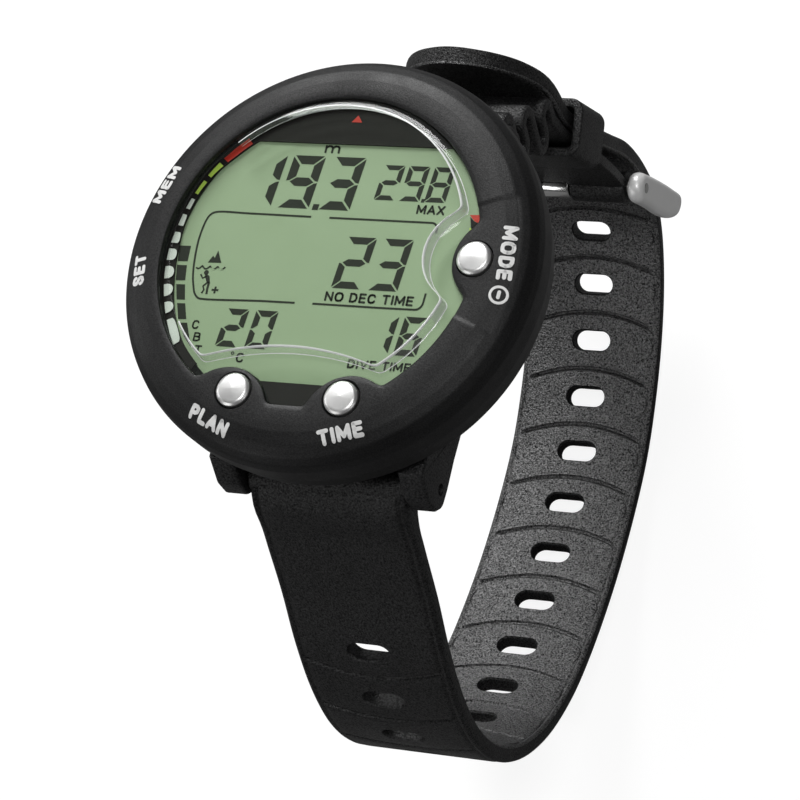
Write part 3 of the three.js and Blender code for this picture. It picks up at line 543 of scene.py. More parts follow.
def build_case():
    wall = filleted([(0, 0), (22.4, 0), (23.4, 0.9), (26.8, 5.6), (29.0, 10.2), (30.5, 11.7), (30.5, 12.7), (29.4, 12.7),
                     (29.4, 23.9), (28.3, 25.0), (27.1, 25.0), (27.1, 24.4), (24.8, 24.4), (24.8, 22.6), (27.0, 22.6),
                     (27.0, 10.4), (0, 10.4)],
                    [0, 0.9, 0.9, 4, 1.2, 0.7, 0.3, 0.2, 0.3, 0.2, 0, 0, 0, 0, 0, 0, 0], 5, closed=False)
    case = add_piece("case shell", turned(wall, 192), PLASTIC, "case", ["case_body"], sharp=40)
    recess = []
    for sign in (1, -1):
        low, high = sorted((sign * 24.3, sign * 40))
        outline = filleted([(low, -5), (high, -5), (high, 9.2), (low, 9.2)], 1.2)
        recess.append(across(outline, -13.4, 13.4, 0.05))
    bar_ends = [rod(0.95, -30, 30, sign * BAR_Y, BAR_Z) for sign in (1, -1)]
    hatch = turned([(0, -3), (18.0, -3), (18.0, 2.6), (13.3, 2.6), (13.2, 9.0), (0, 9.0)], 128)
    wells = [moved(turned([(2.95, 21.6), (2.95, 40.0)], 48), x, y) for x, y in BUTTONS.values()]
    bores = [moved(turned([(1.45, 9.0), (1.45, 24.0)], 32), x, y) for x, y in BUTTONS.values()]
    cut_with(case, [*recess, hatch, *wells])
    cut_with(case, bores)
    lug = filleted([(15.0, 1.2), (22.0, 2.0), (26.8, 2.1), (29.8, 2.5), (31.2, 4.6), (30.9, 8.0), (28.4, 12.7), (15.0, 12.7)],
                   [0.4, 1.6, 1.8, 2.0, 1.6, 2.4, 0.5, 0.2], 6)
    parts = []
    for sign in (1, -1):
        for left, right in ((-17.5, -13.4), (13.4, 17.5)):
            parts.append(across([(sign * y, z) for y, z in lug], left, right, 0.55))
    lugs = add_piece("case lugs", combined(parts), PLASTIC, "case", sharp=40)
    cut_with(lugs, bar_ends)


def build_hatch():
    cover = filleted([(0, 0), (11.0, 0), (11.35, 0.35), (12.25, 0.35), (12.6, 0), (14.4, 0), (14.4, 2.3), (11.9, 2.3),
                      (11.9, 3.1), (0, 3.1)], [0, 0.2, 0.15, 0.15, 0.2, 0.45, 0, 0, 0, 0], 4, closed=False)
    add_piece("hatch cover", turned(cover, 128), PLASTIC, "battery_cover", ["battery_cover"])
    section = filleted([(14.7, 0), (17.7, 0), (17.7, 2.3), (14.7, 2.3)], [0.3, 0.4, 0.1, 0.1], 4)
    ring = add_piece("hatch ring", turned(section, 128, closed=True), PLASTIC, "lock_ring",
                     ["battery_lock_ring"])
    notches = []
    for angle in (30, 150, 270):
        x, y = on_circle(17.7, angle)
        notches.append(moved(turned([(1.7, -1), (1.5, 0.2), (1.4, 1.2)], 40), x, y))
    cut_with(ring, notches)


def build_buttons():
    cap = filleted([(0, 15.0), (1.2, 15.0), (1.2, 25.0), (2.62, 25.0), (2.64, 26.75), (2.2, 27.18), (0, 27.36)],
                   [0, 0.2, 0, 0.1, 0.35, 1.2, 0], 8, closed=False)
    for name, (x, y) in BUTTONS.items():
        part = moved(turned(cap, 72), x, y)
        add_piece(f"{name} button cap", part, SATIN, f"{name}_button", [f"{name}_button"], sharp=60)
        build_spring(name)


def build_spring(name):
    """The button's return spring: a copy of the CAD spring's mesh, riding on the case."""
    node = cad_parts[f"{name}_button_spring"]
    spring = link_piece(f"{name} return spring", node.data.copy(), STEEL, "case",
                        [f"{name}_button_spring"])
    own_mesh(spring)


# ------------------------------------------------------------------ window


def puck_outline():
    """Edge of the window's raised face."""
    radii = []
    for i in range(POLAR_STEPS):
        angle = 2 * math.pi * i / POLAR_STEPS
        radius = ray_to_circle(angle, -0.6, 0.3, 23.5, True)
        if math.sin(angle) < -0.3:
            lower = ray_to_circle(angle, 0, -16.2 - 45, 45, False)
            radius = min(radius, lower) if lower is not None else radius
        hit = ray_to_circle(angle, *beyond(BUTTONS["mode"], 1.2), 8.0, False)
        radius = min(radius, hit) if hit is not None and hit > 0 else radius
        radii.append(radius)
    return smoothed(radii, 2)


def polar_ring(radii, level):
    return [(*on_circle(r, 360 * i / POLAR_STEPS), level) for i, r in enumerate(radii)]


def build_window():
    """One clear moulding whose steep wall runs out to a gentle slope on the scale side."""
    puck, ledge, face = puck_outline(), 26.1, 28.2
    turn = np.arange(POLAR_STEPS) * 360 / POLAR_STEPS
    gentle = np.array([smooth_step(a, 138, 150) * (1 - smooth_step(a, 208, 216)) for a in turn])
    spread = gentle * (opening_outline(-0.25) - puck)
    rings = [polar_ring(opening_outline(0.45), 25.0), polar_ring(opening_outline(0.45), 25.6),
             polar_ring(opening_outline(-0.1), 25.6), polar_ring(opening_outline(-0.16), ledge)]
    side = [(0.0, ledge), (0.12, 26.2), (0.18, 26.8), (0.24, 27.4), (0.3, 27.92), (0.36, 28.08), (0.46, 28.17), (0.6, face)]
    for inwards, level in side:
        rings.append(polar_ring(puck - inwards + spread * (face - level) / (face - ledge), level))
    rings += [polar_ring(puck - inwards, face) for inwards in (0.64, 0.8)]
    rings += [polar_ring((puck - 0.8) * share, face + 0.03 * (1 - share)) for share in (0.75, 0.5, 0.25, 0.02)]
    window = add_piece("window", skin(rings), WINDOW, "case", ["display_window"], sharp=60)
    for material in (WINDOW_EDGE_PAINTED_HIGHLIGHT, WINDOW_WALL_PAINTED_HIGHLIGHT, WINDOW_BEVEL_PAINTED_HIGHLIGHT, WINDOW_SCALLOP_PAINTED_HIGHLIGHT):
        window.data.materials.append(material)
    # Painted highlights: the ledge, wall, scallop and bevel take the milky copies of the window, except between 136 and
    # 214 degrees on the scale side, which stays clear.
    for polygon in window.data.polygons:
        x, y, level = polygon.center / MM
        angle = math.degrees(math.atan2(y, x)) % 360
        if 136 < angle < 214:
            continue
        if ledge + 0.02 < level < face - 0.001:
            in_scallop = angle < 26 or angle > 334
            polygon.material_index = 3 if level < 26.2 or level > 27.92 else 4 if in_scallop else 2
        elif 25.7 < level <= ledge + 0.02:
            polygon.material_index = 1


# ------------------------------------------------------------------ flat printed pieces


def plate(name, loops, low, high, material, body="case", replaces=()):
    """Flat piece bounded by closed x, y loops; a loop inside another is a hole."""
    curve = bpy.data.curves.new(name, "CURVE")
    curve.dimensions = "2D"
    curve.fill_mode = "BOTH"
    curve.extrude = (high - low) / 2 * MM
    for loop in loops:
        spline = curve.splines.new("POLY")
        spline.points.add(len(loop) - 1)
        for point, (x, y) in zip(spline.points, loop):
            point.co = (x * MM, y * MM, 0, 1)
        spline.use_cyclic_u = True
    return settle(name, curve, Matrix.Translation((0, 0, (low + high) / 2 * MM)), material, body, replaces)


def settle(name, curve, place, material, body, replaces=()):
    """A filled curve or text turned into a mesh piece."""
    source = bpy.data.objects.new(name, curve)
    scene.collection.objects.link(source)
    bpy.context.view_layer.update()
    mesh = bpy.data.meshes.new_from_object(source.evaluated_get(bpy.context.evaluated_depsgraph_get()))
    bpy.data.objects.remove(source)
    mesh.transform(place)
    return link_piece(name, mesh, material, body, replaces)


ROUND = [(0.5, 1), (0.2, 0.95), (0.04, 0.75), (0, 0.5), (0.04, 0.25), (0.2, 0.05), (0.5, 0)]
ROUND_BACK = [(1 - x, 1 - y) for x, y in ROUND]
LETTERS = {  # width for a height of 1, then the pen strokes in a unit box
    "A": (0.74, [[(0, 0), (0.5, 1), (1, 0)], [(0.2, 0.3), (0.8, 0.3)]]),
    "B": (0.6, [[(0, 0), (0, 1), (0.6, 1), (0.9, 0.9), (0.9, 0.62), (0.6, 0.53), (0, 0.53)],
                [(0.6, 0.53), (0.95, 0.42), (1, 0.14), (0.65, 0), (0, 0)]]),
    "C": (0.68, [[(0.95, 0.78), (0.8, 0.95), *ROUND, (0.8, 0.05), (0.95, 0.22)]]),
    "D": (0.64, [[(0, 0), (0, 1), (0.5, 1), (0.85, 0.87), (1, 0.5), (0.85, 0.13), (0.5, 0), (0, 0)]]),
    "E": (0.52, [[(1, 0), (0, 0), (0, 1), (1, 1)], [(0, 0.52), (0.9, 0.52)]]),
    "I": (0.0, [[(0, 0), (0, 1)]]),
    "L": (0.5, [[(0, 1), (0, 0), (1, 0)]]),
    "M": (0.82, [[(0, 0), (0, 1), (0.5, 0.2), (1, 1), (1, 0)]]),
    "N": (0.66, [[(0, 0), (0, 1), (1, 0), (1, 1)]]),
    "O": (0.74, [[*ROUND, *ROUND_BACK]]),
    "P": (0.58, [[(0, 0), (0, 1), (0.6, 1), (0.93, 0.88), (0.93, 0.58), (0.6, 0.46), (0, 0.46)]]),
    "S": (0.6, [[(0.95, 0.8), (0.8, 0.95), (0.5, 1), (0.15, 0.93), (0.05, 0.75), (0.18, 0.58), (0.82, 0.42), (0.95, 0.25),
                 (0.85, 0.07), (0.5, 0), (0.2, 0.05), (0.03, 0.22)]]),
    "T": (0.62, [[(0, 1), (1, 1)], [(0.5, 1), (0.5, 0)]]),
    "V": (0.74, [[(0, 1), (0.5, 0), (1, 1)]]),
    "X": (0.66, [[(0, 1), (1, 0)], [(0, 0), (1, 1)]]),
    "m": (0.8, [[(0, 0), (0, 1)], [(0, 0.7), (0.2, 1), (0.4, 0.95), (0.5, 0.7), (0.5, 0)],
                [(0.5, 0.7), (0.7, 1), (0.9, 0.95), (1, 0.7), (1, 0)]]),
    " ": (0.12, []),
}


def capsule(start, end, radius):
    """Outline of a pen stroke with round ends."""
    angle = math.atan2(end[1] - start[1], end[0] - start[0])
    turns = np.linspace(math.pi / 2, 1.5 * math.pi, 7) + angle
    first = [(start[0] + radius * math.cos(t), start[1] + radius * math.sin(t)) for t in turns]
    return first + [(end[0] - radius * math.cos(t), end[1] - radius * math.sin(t)) for t in turns]


def prism(loop, low, high):
    return skin([[(x, y, low) for x, y in loop], [(x, y, high) for x, y in loop]])


def lettering(text, width, height, pen, low=0.0, high=0.05):
    """Letters centred on the origin, fitted to a width and a height in millimetres."""
    gap = 0.16 + pen
    total = sum(LETTERS[letter][0] for letter in text) + gap * (len(text) - 1)
    tall, wide = height * (1 - pen), (width - pen * height) / total
    parts, x = [], -total / 2
    for letter in text:
        span, strokes = LETTERS[letter]
        for stroke in strokes:
            points = [((x + px * span) * wide, (py - 0.5) * tall) for px, py in stroke]
            parts += [prism(capsule(a, b, pen * height / 2), low, high) for a, b in zip(points, points[1:])]
        x += span + gap
    return combined(parts)


def part_mesh(name, part):
    mesh = bpy.data.meshes.new(name)
    mesh.from_pydata(part[0], [], part[1])
    return mesh


def display_text(text, left, right, bottom, top, pen=0.2):
    mesh = part_mesh(text, lettering(text, right - left, top - bottom, pen))
    x, y = (left + right) / 2 + LCD_SHIFT[0], (bottom + top) / 2 + LCD_SHIFT[1]
    mesh.transform(Matrix.Scale(MM, 4) @ Matrix.Translation((x, y, LCD_TOP + 0.01)))
    link_piece(f"display text {text}", mesh, SEGMENT, "case")


def boot_label(text, x, y, turn, width, height):
    """White lettering laid on the boot's sloping skin."""
    mesh = part_mesh(text, lettering(text, width, height, 0.26))
    mesh.transform(Matrix.Translation((x, y, 0)) @ Matrix.Rotation(turn * DEGREE, 4, "Z"))
    lay_on_boot(mesh)
    mesh.transform(Matrix.Scale(MM, 4))
    link_piece(f"label {text}", mesh, WHITE, "case")


def lay_on_boot(mesh):
    work = bmesh.new()
    work.from_mesh(mesh)
    low = [min(v.co[i] for v in work.verts) for i in (0, 1)]
    high = [max(v.co[i] for v in work.verts) for i in (0, 1)]
    for axis in (0, 1):
        normal = (1, 0, 0) if axis == 0 else (0, 1, 0)
        for value in np.arange(low[axis] + 0.3, high[axis], 0.45):
            geometry = work.verts[:] + work.edges[:] + work.faces[:]
            spot = (value, 0, 0) if axis == 0 else (0, value, 0)
            bmesh.ops.bisect_plane(work, geom=geometry, plane_co=spot, plane_no=normal, dist=1e-6)
    for vertex in work.verts:
        radius = math.hypot(vertex.co.x, vertex.co.y)
        angle = math.degrees(math.atan2(vertex.co.y, vertex.co.x))
        vertex.co.z += boot_level(radius) - label_panel_depth(angle, radius) - 0.01
    work.to_mesh(mesh)
    work.free()


LCD_TOP = 24.4
LCD_SHIFT = (0.86, -0.70)  # from the layout's own origin to the case axis


def circle_loop(cx, cy, radius, count=64):
    return [(cx + radius * math.cos(t), cy + radius * math.sin(t)) for t in np.linspace(0, 2 * math.pi, count + 1)[:-1]]


# Edge of the view beside the printed scale: polar angle and distance from the case axis.
SCALE_EDGE = [(125, 24.0), (140, 24.35), (150, 24.9), (158, 25.05), (168, 24.85), (180, 24.4), (192, 24.35), (205, 24.6),
              (217, 24.8), (228, 24.6)]
# Outer ends of the scale marks, in the same way.
SCALE_OUTSIDE = [(130, 25.35), (150, 25.6), (172, 25.65), (180, 25.85), (200, 25.9), (207, 26.0), (217, 26.2)]


def read_off(table, degrees):
    return float(np.interp(degrees, [a for a, _ in table], [r for _, r in table]))


def outline_loop(radii):
    return [on_circle(r, 360 * i / POLAR_STEPS) for i, r in enumerate(radii)]


def view_outline():
    """Edge of the area that the mask leaves open."""
    radii = []
    for i, radius in enumerate(opening_outline(-0.1)):
        degrees = 360 * i / POLAR_STEPS
        angle = degrees * DEGREE
        if 125 < degrees < 228:
            radius = min(radius, read_off(SCALE_EDGE, degrees))
        if math.sin(angle) > 0.4:
            radius = min(radius, 18.5 / math.sin(angle))
        if math.sin(angle) < -0.4:
            radius = min(radius, -20.2 / math.sin(angle))
        radii.append(radius)
    return radii


def build_mask():
    rings = [outline_loop(opening_outline(0.42)), outline_loop(opening_outline(0.12))]
    plate("window seal", rings, 24.5, 24.94, SEAL, replaces=["window_gasket"])
    rim, view = outline_loop(opening_outline(0.1)), outline_loop(view_outline())
    plate("mask plate", [rim, view], 24.5, 24.8, MASK, replaces=["dial_mask"])
    plate("mask marker", [[(-0.95, 22.15), (0.75, 22.15), (-0.1, 23.3)]], 24.8, 24.84, RED)


SEGMENTS_OF = {
    "0": "abcdef", "1": "bc", "2": "abged", "3": "abgcd", "6": "afgedc", "8": "abcdefg", "9": "abgfcd",
}


def segment_loops(text, left, bottom, width, height, stroke, slant=0.1):
    w, h, t, g = width, height, stroke, 0.12 * stroke + 0.05
    m, n = h / 2, t / 2
    shapes = {
        "a": [(g, h), (w - g, h), (w - t - g, h - t), (t + g, h - t)],
        "d": [(t + g, t), (w - t - g, t), (w - g, 0), (g, 0)],
        "g": [(g + n * 0.6, m), (t + g, m + n), (w - t - g, m + n), (w - g - n * 0.6, m), (w - t - g, m - n), (t + g, m - n)],
        "b": [(w, h - g), (w, m + g * 0.6), (w - n * 0.7, m + g), (w - t, m + n + g), (w - t, h - t - g)],
        "c": [(w, m - g * 0.6), (w, g), (w - t, t + g), (w - t, m - n - g), (w - n * 0.7, m - g)],
        "f": [(0, h - g), (t, h - t - g), (t, m + n + g), (n * 0.7, m + g), (0, m + g * 0.6)],
        "e": [(0, m - g * 0.6), (n * 0.7, m - g), (t, m - n - g), (t, t + g), (0, g)],
    }
    return [[(left + x + slant * y, bottom + y) for x, y in shapes[key]] for key in SEGMENTS_OF[text]]


def display_plate(name, loops, material=SEGMENT):
    shifted = [[(x + LCD_SHIFT[0], y + LCD_SHIFT[1]) for x, y in loop] for loop in loops]
    plate(name, shifted, LCD_TOP + 0.01, LCD_TOP + 0.05, material)


def stroke_loop(points, width):
    """Closed outline of an open line with the given width."""
    points = np.array(points, float)
    slope = np.gradient(points, axis=0)
    slope /= np.linalg.norm(slope, axis=1, keepdims=True)
    side = np.stack([-slope[:, 1], slope[:, 0]], axis=1) * width / 2
    return [tuple(p) for p in points + side] + [tuple(p) for p in (points - side)[::-1]]


def build_digits():
    large, medium, small, tiny = 1.4, 1.1, 0.75, 0.95
    loops = []
    loops += segment_loops("1", -16.6, 8.5, 4.6, 8.7, large)
    loops += segment_loops("9", -10.9, 8.5, 5.2, 8.7, large)
    loops += [[(-5.1, 8.35), (-4.15, 8.35), (-4.05, 9.3), (-5.0, 9.3)]]
    loops += segment_loops("3", -4.2, 8.5, 5.2, 8.7, large)
    for text, left in (("2", 4.5), ("9", 8.5), ("8", 12.6)):
        loops += segment_loops(text, left, 10.5, 3.3, 5.7, small)
    loops += [[(12.1, 10.4), (12.6, 10.4), (12.65, 10.95), (12.15, 10.95)]]
    loops += segment_loops("2", 1.0, -4.0, 4.7, 8.3, medium)
    loops += segment_loops("3", 6.9, -4.0, 4.7, 8.3, medium)
    loops += segment_loops("2", -15.4, -14.4, 3.6, 6.1, tiny)
    loops += segment_loops("0", -10.6, -14.4, 3.6, 6.1, tiny)
    loops += segment_loops("1", 8.6, -13.8, 3.7, 6.0, tiny)
    loops += segment_loops("6", 13.2, -13.9, 3.6, 6.1, tiny)
    display_plate("display digits", loops)


def arc(cx, cy, radius, start, end, steps=8):
    return [(cx + radius * math.cos(t * DEGREE), cy + radius * math.sin(t * DEGREE)) for t in np.linspace(start, end, steps)]


def build_frame_lines():
    upper = [(-22.4, 0.2), (-22.47, 2.5), (-22.3, 4.4), (-22.0, 5.9), (-21.55, 6.75), (-20.8, 7.2), (-15, 7.25), (-4.9, 7.2)]
    right = [(-1.9, 7.2), (5, 7.2), (10, 7.2), (14.3, 7.2), *arc(14.6, 6.2, 1.0, 88, 5, 6), (15.6, 5.6)]
    left = [(-22.4, 0.2), (-22.15, -2.0), (-21.8, -3.75), (-21.4, -5.0), (-20.9, -6.2), (-20.2, -6.9), (-19.6, -7.05),
            (-9.9, -6.8), (-4.2, -6.75)]
    lower = [(-1.3, -6.7), (5, -6.7), (10, -6.7), (14.6, -6.65), *arc(14.9, -5.5, 1.15, -90, -8, 6), (16.15, -4.0)]
    display_plate("display frame", [stroke_loop(curve_through(line, 6), 0.3) for line in (upper, right, left, lower)])


def build_icons():
    peaks = [[(-19.98, -1.12), (-19.36, 0.03), (-19.02, -0.36), (-18.73, 0.88), (-17.75, -1.05)]]
    crest, spacing = -20.72, 1.28
    line = [(x, -1.68 - 0.5 * abs(math.sin(math.pi * (x - crest) / spacing))) for x in np.linspace(-21.7, -16.9, 60)]
    waves = [stroke_loop(line, 0.24)]
    walker = [
        circle_loop(-19.8, -2.75, 0.38, 20),
        [(-20.0, -3.1), (-19.55, -3.05), (-19.15, -3.3), (-18.85, -4.2), (-18.9, -4.5), (-19.3, -4.45)],
        stroke_loop([(-20.65, -3.1), (-20.2, -3.7), (-19.6, -3.4)], 0.24),
        stroke_loop([(-19.15, -4.3), (-19.8, -5.0), (-19.5, -5.55), (-19.75, -6.15)], 0.26),
        stroke_loop([(-18.95, -4.3), (-18.98, -5.26), (-18.9, -6.25)], 0.34),
    ]
    plus = [[(-18.2, -5.35), (-17.1, -5.35), (-17.1, -5.65), (-18.2, -5.65)],
            [(-17.8, -5.64), (-17.5, -5.64), (-17.5, -6.05), (-17.8, -6.05)],
            [(-17.8, -4.95), (-17.5, -4.95), (-17.5, -5.36), (-17.8, -5.36)]]
    for i, loops in enumerate((peaks, waves, walker, plus)):
        for k, loop in enumerate(loops):
            display_plate(f"display icon {i} {k}", [loop])


def build_bar_graph():
    blocks = [
        [(-25.39, 1.38), (-23.5, 1.42), (-23.4, -1.1), (-25.05, -1.15)],
        [(-25.0, -1.8), (-23.35, -1.78), (-23.0, -4.23), (-24.55, -4.3)],
        [(-24.3, -4.95), (-22.83, -4.9), (-22.22, -7.35), (-23.6, -7.4)],
        [(-23.35, -8.0), (-22.01, -7.95), (-21.17, -10.46), (-22.5, -10.54)],
        [(-22.05, -11.1), (-20.86, -11.04), (-19.29, -14.8), (-20.86, -13.24)],
    ]
    display_plate("display bar graph", blocks)


def scale_mark(start, end, round_share=0.0):
    """A printed mark between two polar angles, with its inner side straight or rounded."""
    outer = [on_circle(read_off(SCALE_OUTSIDE, a), a) for a in (start, (start + end) / 2, end)]
    inner = []
    for t in np.linspace(1, -1, 13):
        angle = (start + end) / 2 + t * (end - start) / 2
        far, near = read_off(SCALE_OUTSIDE, angle), read_off(SCALE_EDGE, angle)
        depth = (far - near) * (1 - round_share * (1 - math.sqrt(max(1 - t * t, 0))))
        inner.append(on_circle(far - depth, angle))
    return outer + inner


def build_scale():
    """The coloured ascent-rate scale printed on the mask beside the display."""
    low, high = 24.96, 24.99
    whites = [(161.0, 165.0, 0.05), (167.2, 171.5, 0.1), (174.0, 178.1, 0.2), (180.3, 184.5, 0.35), (186.8, 191.3, 0.5),
              (193.5, 197.9, 0.6), (200.2, 204.3, 0.65), (206.9, 216.6, 0.3)]
    for i, (start, end, rounded) in enumerate(whites):
        plate(f"scale mark {i}", [scale_mark(start, end, round_share=rounded)], low, high, WHITE)
    plate("scale red", [scale_mark(132.5, 143.5)], low, high, RED)
    for i, (start, end) in enumerate(((145.5, 151.4), (153.6, 158.9))):
        plate(f"scale lime {i}", [scale_mark(start, end)], low, high, LIME)
    plate("scale end red", [[(21.35, 7.8), (22.3, 6.85), (23.45, 6.4), (23.3, 7.9)]], low, high, RED)
    plate("scale end black", [[(22.0, 5.6), (22.9, 5.9), (23.4, 6.35), (22.3, 6.8), (21.5, 7.5)]], low, high, MASK)
    plate("scale end lime", [[(21.75, 5.75), (22.1, 5.8), (22.2, 5.4), (21.85, 5.3)]], low, high, LIME)


def build_display():
    plate("display plate", [outline_loop(opening_outline(-0.05))], 22.9, LCD_TOP, DISPLAY, replaces=["lcd_panel"])
    build_digits()
    build_frame_lines()
    build_icons()
    build_bar_graph()
    display_text("m", -5.3, -2.8, 17.75, 19.1, 0.24)
    display_text("MAX", 11.75, 16.2, 8.5, 10.0)
    display_text("NO DEC TIME", 0.4, 14.5, -6.15, -4.6)
    display_text("DIVE TIME", 6.5, 16.4, -16.4, -15.0)
    display_plate("display degree", [circle_loop(-12.2, -15.35, 0.27, 24), circle_loop(-12.2, -15.35, 0.13, 24)])
    display_text("C", -11.45, -10.2, -16.75, -15.2, 0.17)
    for text, x, y in (("C", -19.37, -11.23), ("B", -18.65, -13.16), ("T", -17.98, -15.2)):
        display_text(text, x - 0.58, x + 0.58, y - 0.72, y + 0.72, 0.17)


def build_labels():
    boot_label("MEM", -28.6, 10.0, 70.7, 6.6, 2.2)
    boot_label("SET", -29.2, -4.5, 98.8, 5.2, 2.2)
    boot_label("PLAN", -11.6, -27.4, -23, 7.2, 2.3)
    boot_label("TIME", 9.6, -27.8, 18.9, 7.0, 2.3)
    boot_label("MODE", 28.95, 1.6, -86.6, 8.5, 2.25)
    ring = [circle_loop(28.95, -4.95, 1.42, 40), circle_loop(28.95, -4.95, 1.03, 40)]
    bar = capsule((28.98, -4.5), (28.92, -5.35), 0.25)
    for i, loops in enumerate((ring, [bar])):
        icon = plate(f"label icon {i}", loops, 0.0, 0.07, WHITE)
        icon.data.transform(Matrix.Scale(1 / MM, 4))
        lay_on_boot(icon.data)
        icon.data.transform(Matrix.Scale(MM, 4))


# ------------------------------------------------------------------ strap

EDGE_SECTION = [
    (10.8, 1.40), (11.25, 1.38), (11.5, 1.26), (11.75, 1.18), (12.0, 1.26), (12.3, 1.33), (12.62, 1.22), (12.87, 0.96),
    (13.0, 0.5), (13.0, -0.1), (13.0, -0.7), (12.88, -1.02), (12.62, -1.28), (12.3, -1.38), (12.08, -1.28),
    (11.92, -1.2), (11.72, -1.28), (11.5, -1.38), (10.8, -1.40),
]
INSIDE_COLUMNS = [9.4, 7.8, 6.2, 4.6, 3.1, 1.6]
GROOVE_ROWS = {-0.9: 0.0, -0.55: 0.04, -0.3: 0.45, 0.0: 0.56, 0.3: 0.42, 0.5: -0.05, 0.75: -0.06, 1.0: 0.0, 1.15: 0.0, 1.3: 0.0}
ARCH = 3.3


def strap_section():
    """Closed cross-section of the long strap: x across and height above the middle line."""
    outer = [(x, 1.40) for x in INSIDE_COLUMNS[::-1]]
    inner = [(x, -1.40) for x in INSIDE_COLUMNS]
    right = [*outer, *EDGE_SECTION, *inner]
    left = [(-x, t) for x, t in right[::-1]]
    return [(0, 1.40), *right, (0, -1.40), *left]


def strap_stations(line, grooves):
    rows = {round(u, 4): 0.0 for u in np.arange(0, line.total, SLOT_PITCH / 8)}
    for groove in grooves:
        rows = {u: depth for u, depth in rows.items() if abs(u - groove - 0.17) > 1.35}
        rows.update({round(groove + offset, 4): depth for offset, depth in GROOVE_ROWS.items()})
    tip = line.total - TIP_LENGTH * (1 - np.sin(np.linspace(0.1, math.pi / 2, 20)))
    rows = {u: depth for u, depth in rows.items() if u < tip[0] - 0.3}
    rows.update({round(float(u), 4): 0.0 for u in tip})
    return sorted(rows.items())


def build_long_strap():
    line = Line(curve_through(LONG_STRAP_LINE))
    held = line.nearest(HELD_SLOT)
    slots = [held + i * SLOT_PITCH for i in range(-SLOTS_TO_LUG, SLOTS_TO_TIP + 1)]
    grooves = [slot + SLOT_PITCH / 2 for slot in slots]
    section = strap_section()
    rings = []
    for u, depth in strap_stations(line, grooves):
        from_tip = line.total - u
        narrow = math.sqrt(max(1 - (max(TIP_LENGTH - from_tip, 0) / TIP_LENGTH) ** 2, 0.0004))
        bow = ARCH * smooth_step(u, 6, 26) * (1 - smooth_step(u, line.total - 40, line.total - 22))
        thicker = 1 + 1.05 * (1 - smooth_step(u, 1.0, 9.5))
        ring = []
        for x, height in section:
            flat = 1 - smooth_step(abs(x), 11.2, 11.6)
            sunk = height - math.copysign(depth * flat, height)
            along = u - bow * (x / 13) ** 2
            ring.append(line.spot(x * narrow, along, sunk * thicker))
        rings.append(ring)
    parts = [skin(rings), rod(3.0, -13, 13, -BAR_Y, BAR_Z, 0.4)]
    strap = add_piece("strap long half", skin(rings), STRAP, "long_strap", ["long_strap"], sharp=30)
    # The inner face of the strap takes the lighter, glossier copy of the rubber: painted sheen.
    strap.data.materials.append(STRAP_INNER_PAINTED_SHEEN)
    centres = np.array([polygon.center for polygon in strap.data.polygons])[:, 1:] / MM
    for polygon, centre in zip(strap.data.polygons, centres):
        nearest = np.argmin(np.linalg.norm(line.points - centre, axis=1))
        away, tangent = centre - line.points[nearest], line.tangents[nearest]
        polygon.material_index = int(away @ (tangent[1], -tangent[0]) < -0.9)
    cut_with(strap, [slot_cutter(line, slot) for slot in slots])
    add_piece("strap long eye", parts[1], STRAP, "long_strap")
    marks = []
    for i, slot in enumerate(slots):
        for x in (-9.3, 9.3):
            if 1 <= i:
                marks.append(ejector_mark(line, x, slot - 0.8))
    add_piece("strap mould marks", combined(marks), STRAP, "long_strap")


def rounded_slot(grow):
    half, radius = (SLOT_LENGTH - SLOT_WIDTH) / 2, SLOT_WIDTH / 2 + grow
    right = [(half + radius * math.cos(t), radius * math.sin(t)) for t in np.linspace(-math.pi / 2, math.pi / 2, 12)]
    return right + [(-x, -y) for x, y in right]


def slot_cutter(line, station):
    rings = []
    for height, grow in ((-3.2, 0.35), (-1.42, 0.22), (-1.1, 0.0), (1.1, 0.0), (1.42, 0.22), (3.2, 0.35)):
        point, tangent = line.at(station)
        rings.append([(x, point[0] + tangent[0] * v + tangent[1] * height, point[1] + tangent[1] * v - tangent[0] * height)
                      for x, v in rounded_slot(grow)])
    return skin(rings)


def ejector_mark(line, x, station):
    """A faint raised ring left by a mould pin on the inner face."""
    rings = []
    for i in range(40):
        angle = 2 * math.pi * i / 40
        ring = []
        for radius, height in ((2.52, -1.36), (2.6, -1.43), (2.68, -1.36)):
            ring.append(line.spot(x + radius * math.cos(angle), station + radius * math.sin(angle), height))
        rings.append(ring)
    return skin(rings, loop=True)


def short_strap_points():
    bend, back = ("turn", -180, FOLD_RADIUS), ("turn", 180, FOLD_RADIUS)
    fold = [bend, ("ahead", FOLD_DOWN), back, ("ahead", FOLD_UP)]
    lead = [("ahead", 7.5), ("turn", 145.7, 1.6), ("ahead", 2.4)]
    bellows = walk((BAR_Y, BAR_Z), -80, [*lead, *fold, *fold, bend, ("ahead", 2.2)])
    run = curve_through([bellows[-1], *SHORT_STRAP_END], 12)
    return [*bellows, *run[2:]]


def build_short_strap():
    line = Line(short_strap_points())
    corner = [(12.2, 1.0), (12.6, 0.96), (12.88, 0.78), (13.0, 0.45), (13.0, -0.45), (12.88, -0.78), (12.6, -0.96), (12.2, -1.0)]
    columns = [(x, 1.0) for x in (2, 5, 8, 11)]
    right = [*columns, *corner, *[(x, -1.0) for x in (11, 8, 5, 2)]]
    section = [(0, 1.0), *right, (0, -1.0), *[(-x, t) for x, t in right[::-1]]]
    rings = [[line.spot(x, u, height) for x, height in section] for u in line.lengths]
    strap = add_piece("strap short half", skin(rings), STRAP, "short_strap", ["short_strap"], sharp=50)
    room = across(filleted([(45, -70), (60, -70), (60, -54.1), (45, -54.1)], 0.5), -2.8, 2.8, 0.05)
    cut_with(strap, [room])
    lobes = [rod(2.75, sign * 7.9 - 5.0, sign * 7.9 + 5.0, BUCKLE["y"], BUCKLE["z"], 0.35) for sign in (1, -1)]
    lobes.append(rod(2.8, -13, 13, BAR_Y, BAR_Z, 0.35))
    add_piece("strap short eyes", combined(lobes), STRAP, "short_strap")


